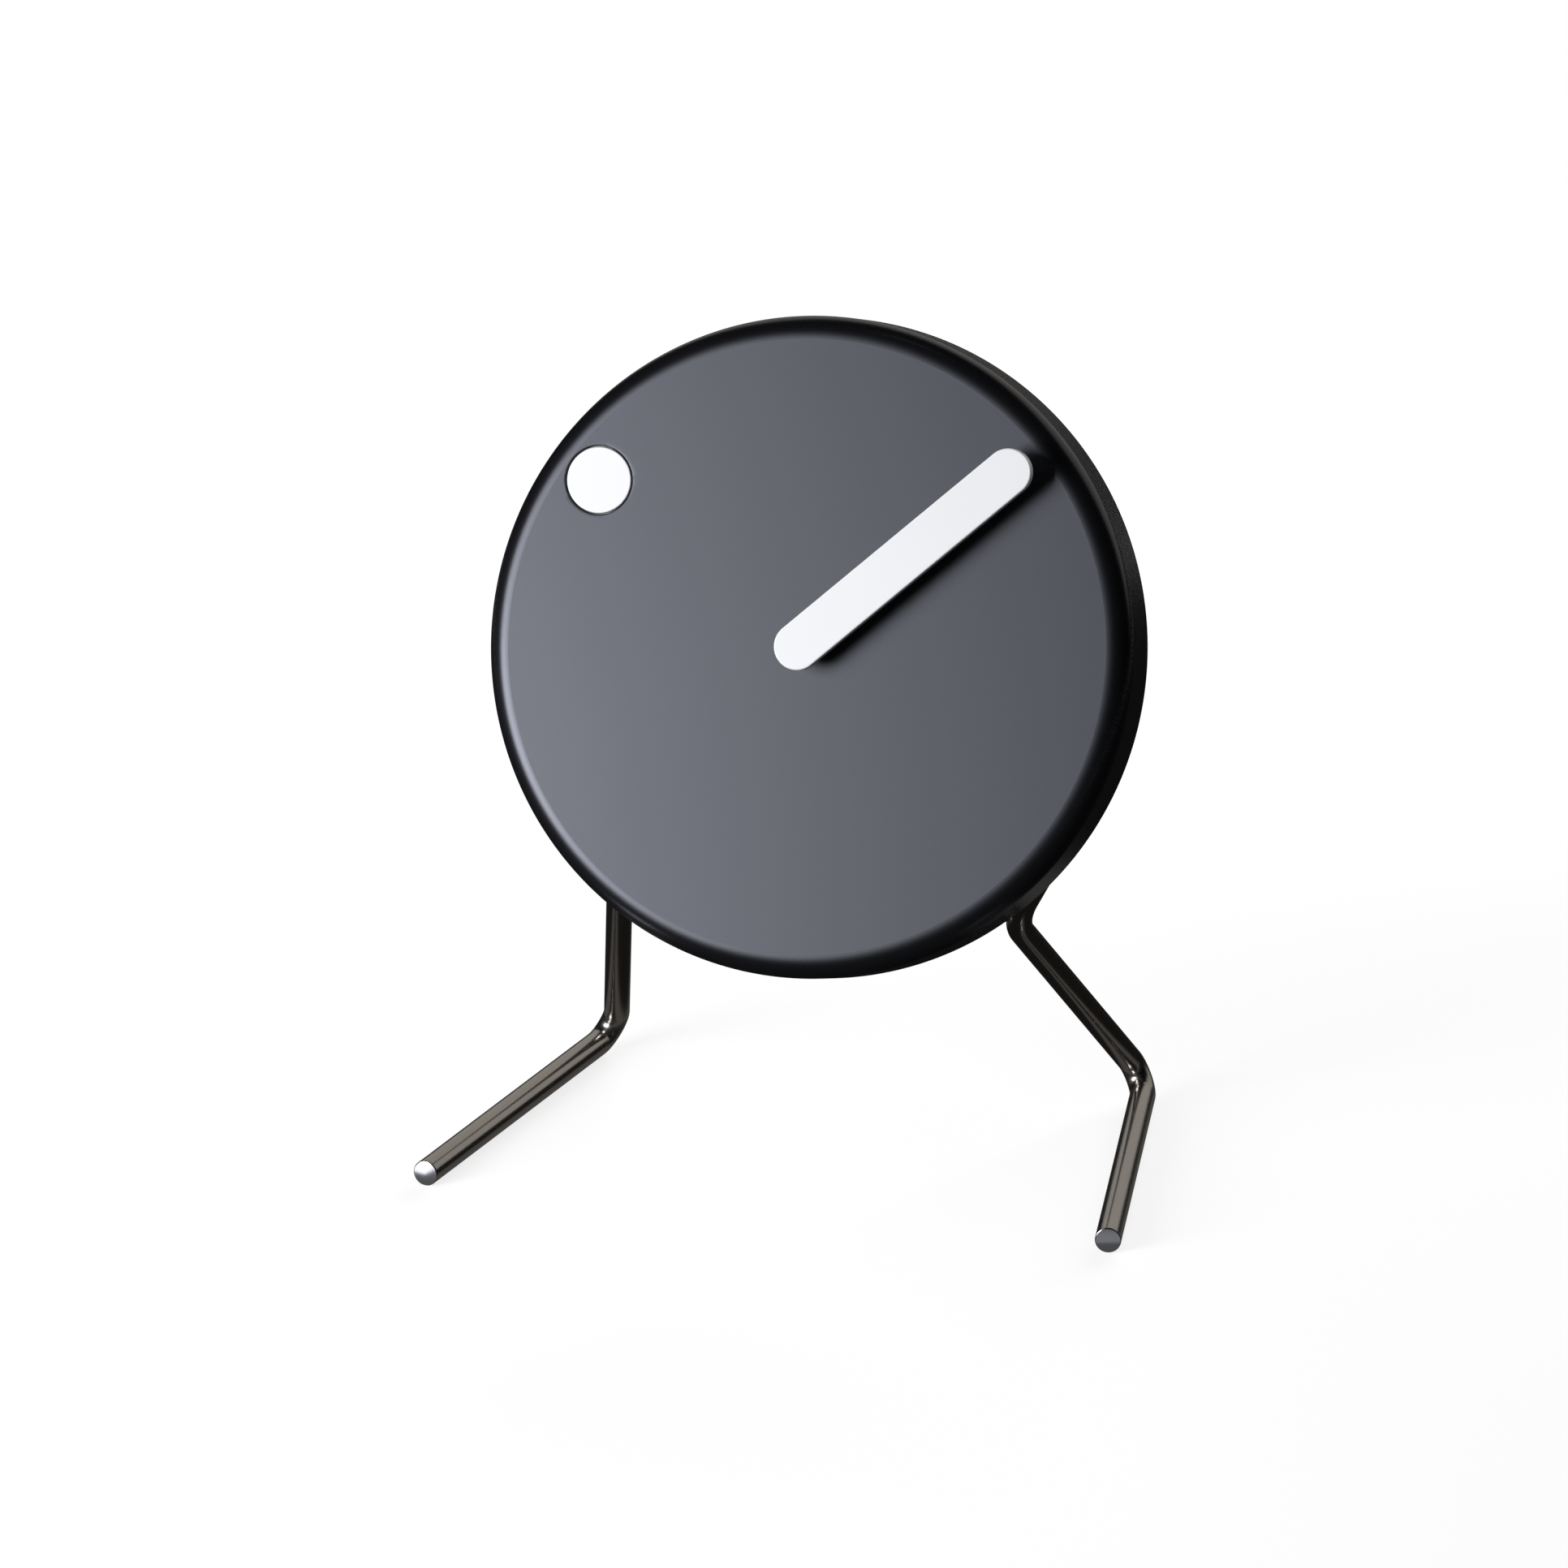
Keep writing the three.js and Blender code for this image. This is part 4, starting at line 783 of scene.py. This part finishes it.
class CLOCK_OT_hand(bpy.types.Operator):
    """Builds the minute hand, a round-ended bar with eased edges."""

    bl_idname = "clock.hand"
    bl_label = "Minute hand"

    def execute(self, context):
        """The outline is two half circles of radius r about the bar's two ends, joined by straight sides.
        The profile goes in from r and up: each of its points (d, z) carries the outline of radius d."""
        s = context.scene.clock_sizes
        bottom = s.body_depth / 2 + s.hand_gap
        top, half = bottom + s.hand_depth, s.hand_width / 2
        corners = [(0, bottom), (half, bottom), (half, top), (0, top)]
        profile = bends(corners, [0, s.hand_edge, s.hand_edge, 0], 8)
        steps = HAND_STEPS
        near = np.linspace(np.pi / 2, 3 * np.pi / 2, steps + 1)
        angle = np.concatenate([near, near + np.pi])
        ends = np.concatenate([np.zeros(steps + 1), np.full(steps + 1, s.hand_reach)])
        axis = np.stack([ends, np.zeros_like(ends)], -1)
        away = np.stack([np.cos(angle), np.sin(angle)], -1)
        flat = axis + profile[:, 0, None, None] * away
        cos, sin = np.cos(s.hand_angle), np.sin(s.hand_angle)
        flat = flat @ np.array([[cos, sin], [-sin, cos]])
        height = np.broadcast_to(profile[:, 1, None, None], (*flat.shape[:2], 1))
        points = np.concatenate([flat, height], -1).reshape(-1, 3)
        faces = grid_faces(len(profile), len(angle), wrap_columns=True).reshape(-1, 4)
        parts = [(from_head(points), faces)]
        finish = finish_for("white_mark")
        piece("minute_hand_bar", parts, "minute", finish, ("minute_hand",))
        return {"FINISHED"}


class CLOCK_OT_rod(bpy.types.Operator):
    """Builds the stand, one rod bent from foot to foot over the hoop behind the body."""

    bl_idname = "clock.rod"
    bl_label = "Rod stand"

    def execute(self, context):
        """Half of the path runs from a foot's end through the two bends and up the hoop; the other half
        is its mirror image in x. The ends are cut square, with a small round edge."""
        s = context.scene.clock_sizes
        r, edge = s.rod_radius, s.rod_end_edge
        touch = s.hoop_radius * np.array([np.cos(s.hoop_touch), np.sin(s.hoop_touch)])
        down = s.top_bend_run * np.array([np.sin(s.hoop_touch), -np.cos(s.hoop_touch)])
        corner = from_head(np.array([*(touch + down), -s.rod_depth]))
        touch = from_head(np.array([*touch, -s.rod_depth]))
        foot = np.array([s.foot_half, -s.foot_reach, r])
        rear = np.array([s.rear_half, s.rear_reach, r])
        line = [foot, rear, corner, touch]
        straight = bends(line, [0, s.rear_bend, s.top_bend, 0], BEND_STEPS)
        per_corner = BEND_STEPS + 1
        straight = np.concatenate([foot[None], straight[per_corner : 3 * per_corner]])
        angle = np.linspace(s.hoop_touch, np.pi / 2, HOOP_STEPS)
        back = np.full_like(angle, -s.rod_depth / s.hoop_radius)
        hoop = np.stack([np.cos(angle), np.sin(angle), back], -1)
        half = np.concatenate([straight, from_head(hoop * s.hoop_radius)])
        mirrored = half[-2::-1] * [-1, 1, 1]
        path = np.concatenate([half, mirrored])
        along = unit(np.diff(path, axis=0))
        tangents = unit(np.concatenate([along[:1], along[:-1] + along[1:], along[-1:]]))
        # rings for the cut ends: from the middle out to the rod's radius over a quarter circle
        turn_out = np.linspace(0, np.pi / 2, QUARTER_STEPS)
        cap_radius = np.concatenate([[0.0], r - edge * (1 - np.sin(turn_out))])
        cap_depth = np.concatenate([[0.0], edge * (1 - np.cos(turn_out))])
        first = path[0] + tangents[0] * cap_depth[:, None]
        last = path[-1] - tangents[-1] * cap_depth[::-1, None]
        stations = np.concatenate([first, path[1:-1], last])
        foot_way = np.tile(tangents[0], (len(first), 1))
        far_way = np.tile(tangents[-1], (len(last), 1))
        directions = np.concatenate([foot_way, tangents[1:-1], far_way])
        radius = np.concatenate([cap_radius, np.full(len(path) - 2, r), cap_radius[::-1]])
        parts = [swept(stations, directions, radius)]
        finish = finish_for("polished_rod")
        piece("bent_rod", parts, "stand", finish, ("stand_rod",))
        return {"FINISHED"}


SIDES = ("top", "right", "left")
CLIPS = {
    "dark_plastic": [f"rod_saddle_{side}" for side in SIDES],
    "plated_steel": [f"{node}_{side}" for node in ("rod_strap", "clip_screw") for side in SIDES],
}
EASED_CLIP = 0.00015  # bevel of the clips' edges
EASED_BACK = 0.0002  # bevel of the back's edges
BACK = {"dark_plastic": ["back_cover", "battery_door"], "pale_plastic": ["setting_knob"]}
MOVEMENT = {
    "brass": ["shell_hub", "hand_hub", "minute_arbor", "bush_nut", "centre_wheel"],
    "pale_plastic": ["hour_wheel", "motion_wheel", "third_wheel", "rotor_pinion", "coil_bobbin"],
    "plated_steel": [
        "clutch_spring",
        "movement_bridge",
        "bridge_screw_left",
        "bridge_screw_right",
        "stator",
        "coil_core",
        "quartz_crystal",
        "positive_contact",
        "negative_contact",
    ],
    "dark_plastic": ["movement_case", "movement_front_plate", "clock_chip"],
    "magnet": ["rotor_magnet"],
    "copper_wire": ["coil_winding"],
    "board": ["circuit_board"],
    "cell": ["battery"],
}


class CLOCK_OT_clips(bpy.types.Operator):
    """Builds the saddles, straps and screws that hold the rod to the back cover."""

    bl_idname = "clock.clips"
    bl_label = "Rod clips"

    def execute(self, context):
        for slot, nodes in CLIPS.items():
            for node in nodes:
                eased(node, finish_for(slot), EASED_CLIP)
        return {"FINISHED"}


class CLOCK_OT_back(bpy.types.Operator):
    """Builds the back cover, the battery door and the setting knob."""

    bl_idname = "clock.back"
    bl_label = "Back"

    def execute(self, context):
        for slot, nodes in BACK.items():
            for node in nodes:
                eased(node, finish_for(slot), EASED_BACK)
        return {"FINISHED"}


class CLOCK_OT_movement(bpy.types.Operator):
    """Gives the pieces of the movement their finishes. They keep their own meshes."""

    bl_idname = "clock.movement"
    bl_label = "Movement"

    def execute(self, context):
        for slot, nodes in MOVEMENT.items():
            for node in nodes:
                frame["nodes"][node].data.materials.clear()
                frame["nodes"][node].data.materials.append(finish_for(slot))
        return {"FINISHED"}


# Studio


def towards(azimuth, elevation):
    """The direction at this azimuth, 0 in front and positive to the right, and elevation, in radians."""
    flat = math.cos(elevation)
    return Vector((math.sin(azimuth) * flat, -math.cos(azimuth) * flat, math.sin(elevation)))


def softbox(name, power, tint, azimuth, elevation, distance, width, height):
    """A flat lamp that faces the middle of the clock's face. It doesn't show to the camera itself."""
    lamp = bpy.data.lights.new(name, "AREA")
    lamp.shape, lamp.size, lamp.size_y = "RECTANGLE", width, height
    lamp.energy, lamp.color = power, tint
    holder = bpy.data.objects.new(name, lamp)
    bpy.context.scene.collection.objects.link(holder)
    back = towards(math.radians(azimuth), math.radians(elevation))
    middle = Vector(HEAD_CENTRE)
    holder.rotation_mode = "QUATERNION"
    holder.rotation_quaternion = back.to_track_quat("Z", "Y")
    holder.location = middle + back * distance
    holder.visible_camera = False
    return holder


def stage_sheet(name, points, faces, material):
    """A sheet of the stage."""
    mesh = bpy.data.meshes.new(name)
    mesh.from_pydata(points, [], faces)
    mesh.shade_smooth()
    mesh.materials.append(material)
    sheet = bpy.data.objects.new(name, mesh)
    bpy.context.scene.collection.objects.link(sheet)
    return sheet


# Where the floor's parts begin and end, in metres. Each pair is a soft step.
# the strip along each foot is a painted reflection: lighter floor that only gloss and bounced light see
STRIP_IN = (-0.01, -0.006)  # from a foot's middle line to its strip's edge, towards the middle
STRIP_OUT = (0.012, 0.018)  # and away from it
STRIP_FRONT = (-0.07, -0.055)  # y of the strip's front end
STRIP_BACK = (0.2, 0.25)  # y of its back end
FAR_GLOSS = (0.8, 0.9)  # from the clock to where gloss sees white
FAR_CAMERA = (0.3, 0.7)  # and to where the camera sees plain white


def floor_finish(studio):
    """Pale floor that keeps the clock's shadow. Far from the clock, rays that see it see the white
    background. Near it, the camera sees the lit floor lifted to white, and gloss sees a dark glowing sheet,
    painted shade of the floor under and behind the clock, with a lighter strip along each foot, a painted
    reflection of lit floor. Light that bounces off the floor onto the clock comes from that sheet too."""
    finish = Finish("pale_floor")
    point = finish.add("ShaderNodeTexCoord", output=3)
    x, y, _ = finish.axes(point)
    x = abs(x)
    reach = finish.vector("LENGTH", point, output=1)
    foot, along = foot_line()
    # painted reflection: the strip of lighter floor along each foot
    beside = x * -along[1] + y * along[0] + float(along[1] * foot[0] - along[0] * foot[1])
    strip = beside.between(*STRIP_IN) * (1 - beside.between(*STRIP_OUT))
    strip = strip * y.between(*STRIP_FRONT) * (1 - y.between(*STRIP_BACK))
    camera, seen = finish.seen_rays()
    far = finish.mix(camera, reach.between(*FAR_GLOSS), reach.between(*FAR_CAMERA))
    grain = finish.noise(500, 3.0)
    tone = finish.blend(grain, rgba(studio.floor, 0.98), rgba(studio.floor, 1.0))
    lift = finish.glow(WHITE, studio.floor_lift)
    shown = finish.between_shaders(studio.floor_share, lift, finish.matt(tone))
    # painted shade and painted reflection: a glowing dark sheet for the shaded floor, lighter in a strip
    # along each foot, seen by every ray but the camera's
    sheet = finish.blend(strip, rgba(studio.painted_shade_floor), rgba(studio.painted_foot_reflection))
    dim = finish.glow(sheet, 1.0)
    near = finish.between_shaders(camera, dim, shown)
    return finish.show(finish.between_shaders(far * seen, near, finish.glow(WHITE, 1.0)))


# Cards round the clock, seen only in gloss, which paint its reflections: azimuths and elevations in
# degrees, and the distance in metres.
FRONT_CARD = {"azimuths": (-142, 118), "elevations": (-14, 88), "radius": 1.5}
OVER_CARD = {"azimuths": (118, 218), "elevations": (46, 88), "radius": 1.5}
# painted warm reflection behind the clock
WARM_REFLECTION_CARD = {"azimuths": (118, 218), "elevations": (2, 46), "radius": 1.4}
BEHIND_CARD = {"azimuths": (116, 220), "elevations": (-40, 2), "radius": 1.45}
CARD_ROWS, CARD_COLUMNS = 21, 41
# painted highlight on the left foot's ground end and painted reflection on the right one's
LEFT_END_CARD = {"across": (-0.105, -0.083), "along": (-0.077, -0.053)}
RIGHT_END_CARD = {"across": (0.076, 0.09), "along": (-0.07, -0.053)}
SENSOR_MM = 36.0  # width of the camera's sensor, in millimetres
CARD_LIFT = 0.0008  # from the floor to the cards before the feet

# Lamps: direction in degrees, the rest in metres.
KEY_LAMP = {"azimuth": -36, "elevation": 12, "distance": 0.95, "width": 0.52, "height": 0.50}
LOW_LAMP = {"azimuth": -36, "elevation": 5, "distance": 0.85, "width": 0.36, "height": 0.20}
REAR_LAMP = {"azimuth": 172, "elevation": 14, "distance": 1.1, "width": 0.8, "height": 0.6}

FLOOR_RADIUS = 0.9
FLOOR_RINGS, FLOOR_ROUND = 41, 96
FLOOR_SPREAD = 1.5  # the rings lie at this power of even steps, closer together in the middle


def card_finish(name, tone, level):
    """A plain studio card that glows at one brightness."""
    finish = Finish(name)
    return finish.show(finish.glow(rgba(tone), level))


def glossy_only(sheet):
    """Hides a sheet from the camera, from plain light and from shadows."""
    sheet.visible_camera = False
    sheet.visible_diffuse = False
    sheet.visible_shadow = False


def surround(name, azimuths, elevations, radius, material):
    """A part of a sphere about the clock, between these azimuths and elevations. It only shows in gloss,
    where it paints a reflection.
    """
    a = np.radians(np.linspace(*azimuths, CARD_COLUMNS))[None, :]
    e = np.radians(np.linspace(*elevations, CARD_ROWS))[:, None]
    way = np.broadcast_arrays(np.sin(a) * np.cos(e), -np.cos(a) * np.cos(e), np.sin(e))
    points = HEAD_CENTRE + radius * np.stack(way, -1)
    faces = grid_faces(CARD_ROWS, CARD_COLUMNS)
    glossy_only(stage_sheet(name, points.reshape(-1, 3), faces.reshape(-1, 4), material))


def end_card(name, across, along, level):
    """A glowing card just over the floor between these x and y, which only shows in the ground end of a
    foot, as a painted reflection there.
    """
    (left, right), (front, back) = across, along
    flat = [(left, front), (right, front), (right, back), (left, back)]
    corners = [(x, y, CARD_LIFT) for x, y in flat]
    glossy_only(stage_sheet(name, corners, [(0, 1, 2, 3)], card_finish(name, (1, 1, 1), level)))


class CLOCK_OT_stage(bpy.types.Operator):
    """Sets up the floor, the white background, the lamps, the dark and glowing cards that paint reflections
    in the gloss, and the camera.
    """

    bl_idname = "clock.stage"
    bl_label = "Studio"

    def execute(self, context):
        studio = context.scene.clock_studio
        scene = context.scene
        scene.view_settings.view_transform = "Standard"
        radii = np.linspace(0, 1.0, FLOOR_RINGS) ** FLOOR_SPREAD * FLOOR_RADIUS
        angle = around(FLOOR_ROUND)[None, :]
        x, y = radii[:, None] * np.cos(angle), radii[:, None] * np.sin(angle)
        points = np.stack([x, y, np.zeros_like(x)], -1)
        faces = grid_faces(FLOOR_RINGS, FLOOR_ROUND, wrap_columns=True)[:, :, ::-1]
        stage_sheet("floor", points.reshape(-1, 3), faces.reshape(-1, 4), floor_finish(studio))
        # painted dark reflection: black sheets round the clock that only gloss sees, in place of the white
        # world
        dark = card_finish("dark_reflection_card", (0.0, 0.0, 0.0), 0.0)
        # painted warm reflection: a glowing card behind the clock that only gloss sees
        warm = card_finish("painted_warm_reflection", studio.painted_warm_reflection, studio.painted_warm_level)
        surround("dark_front", material=dark, **FRONT_CARD)
        surround("dark_over", material=dark, **OVER_CARD)
        surround("painted_warm_back", material=warm, **WARM_REFLECTION_CARD)
        surround("dark_behind", material=dark, **BEHIND_CARD)
        # painted highlight on the left foot's ground end and painted reflection on the right one's
        end_card("left_end_card", level=studio.left_end_highlight, **LEFT_END_CARD)
        end_card("right_end_card", level=studio.right_end_reflection, **RIGHT_END_CARD)
        self.world(scene, studio)
        softbox("key_lamp", studio.key, studio.lamp_tint, **KEY_LAMP)
        softbox("low_lamp", studio.low, studio.lamp_tint, **LOW_LAMP)
        # the rear lamp lights plain colour alone, so it doesn't show in the rod's polish
        softbox("rear_lamp", studio.rear, WHITE[:3], **REAR_LAMP).visible_glossy = False
        self.camera(scene, studio)
        return {"FINISHED"}

    def world(self, scene, studio):
        scene.world = bpy.data.worlds.new("studio_world")
        nodes = Nodes(scene.world)
        _, seen = nodes.seen_rays()
        white, dim = (
            nodes.add("ShaderNodeBackground", None, {"Color": WHITE, "Strength": level})
            for level in (1.0, studio.fill)
        )
        nodes.add("ShaderNodeOutputWorld", None, {"Surface": nodes.between_shaders(seen, dim, white)})

    def camera(self, scene, studio):
        lens = bpy.data.cameras.new("camera")
        lens.lens, lens.sensor_width = studio.lens, SENSOR_MM
        holder = bpy.data.objects.new("camera", lens)
        scene.collection.objects.link(holder)
        back = towards(studio.azimuth, studio.elevation)
        right = Vector((0, 0, 1)).cross(back).normalized()
        up = back.cross(right)
        middle = Vector(HEAD_CENTRE)
        aim = middle + right * studio.aim_right + up * studio.aim_up
        holder.location = middle + back * studio.distance
        holder.rotation_mode = "QUATERNION"
        holder.rotation_quaternion = (aim - holder.location).to_track_quat("-Z", "Y")
        scene.camera = holder


class CLOCK_PT_panel(bpy.types.Panel):
    """Lists the clock's pieces, sizes and colours."""

    bl_idname = "CLOCK_PT_panel"
    bl_label = "Table clock"
    bl_space_type = "VIEW_3D"
    bl_region_type = "UI"
    bl_category = "Clock"

    def draw(self, context):
        layout = self.layout
        for operator in OPERATORS:
            layout.operator(operator.bl_idname)
        for group in (getattr(context.scene, name) for name in GROUPS):
            box = layout.box()
            for name in group.bl_rna.properties.keys():
                if name not in ("rna_type", "name"):
                    box.prop(group, name)


GROUPS = {"clock_sizes": ClockSizes, "clock_colours": ClockColours, "clock_studio": ClockStudio}
OPERATORS = (
    CLOCK_OT_body,
    CLOCK_OT_dot,
    CLOCK_OT_hand,
    CLOCK_OT_rod,
    CLOCK_OT_clips,
    CLOCK_OT_back,
    CLOCK_OT_movement,
    CLOCK_OT_stage,
)


def register():
    for name, group in GROUPS.items():
        bpy.utils.register_class(group)
        setattr(bpy.types.Scene, name, PointerProperty(type=group))
    for operator in OPERATORS:
        bpy.utils.register_class(operator)
    bpy.utils.register_class(CLOCK_PT_panel)


def unregister():
    bpy.utils.unregister_class(CLOCK_PT_panel)
    for operator in reversed(OPERATORS):
        bpy.utils.unregister_class(operator)
    for name, group in GROUPS.items():
        delattr(bpy.types.Scene, name)
        bpy.utils.unregister_class(group)


def main():
    register()
    bpy.ops.clock.body()
    bpy.ops.clock.dot()
    bpy.ops.clock.hand()
    bpy.ops.clock.rod()
    bpy.ops.clock.clips()
    bpy.ops.clock.back()
    bpy.ops.clock.movement()
    bpy.ops.clock.stage()


if __name__ == "__main__":
    main()
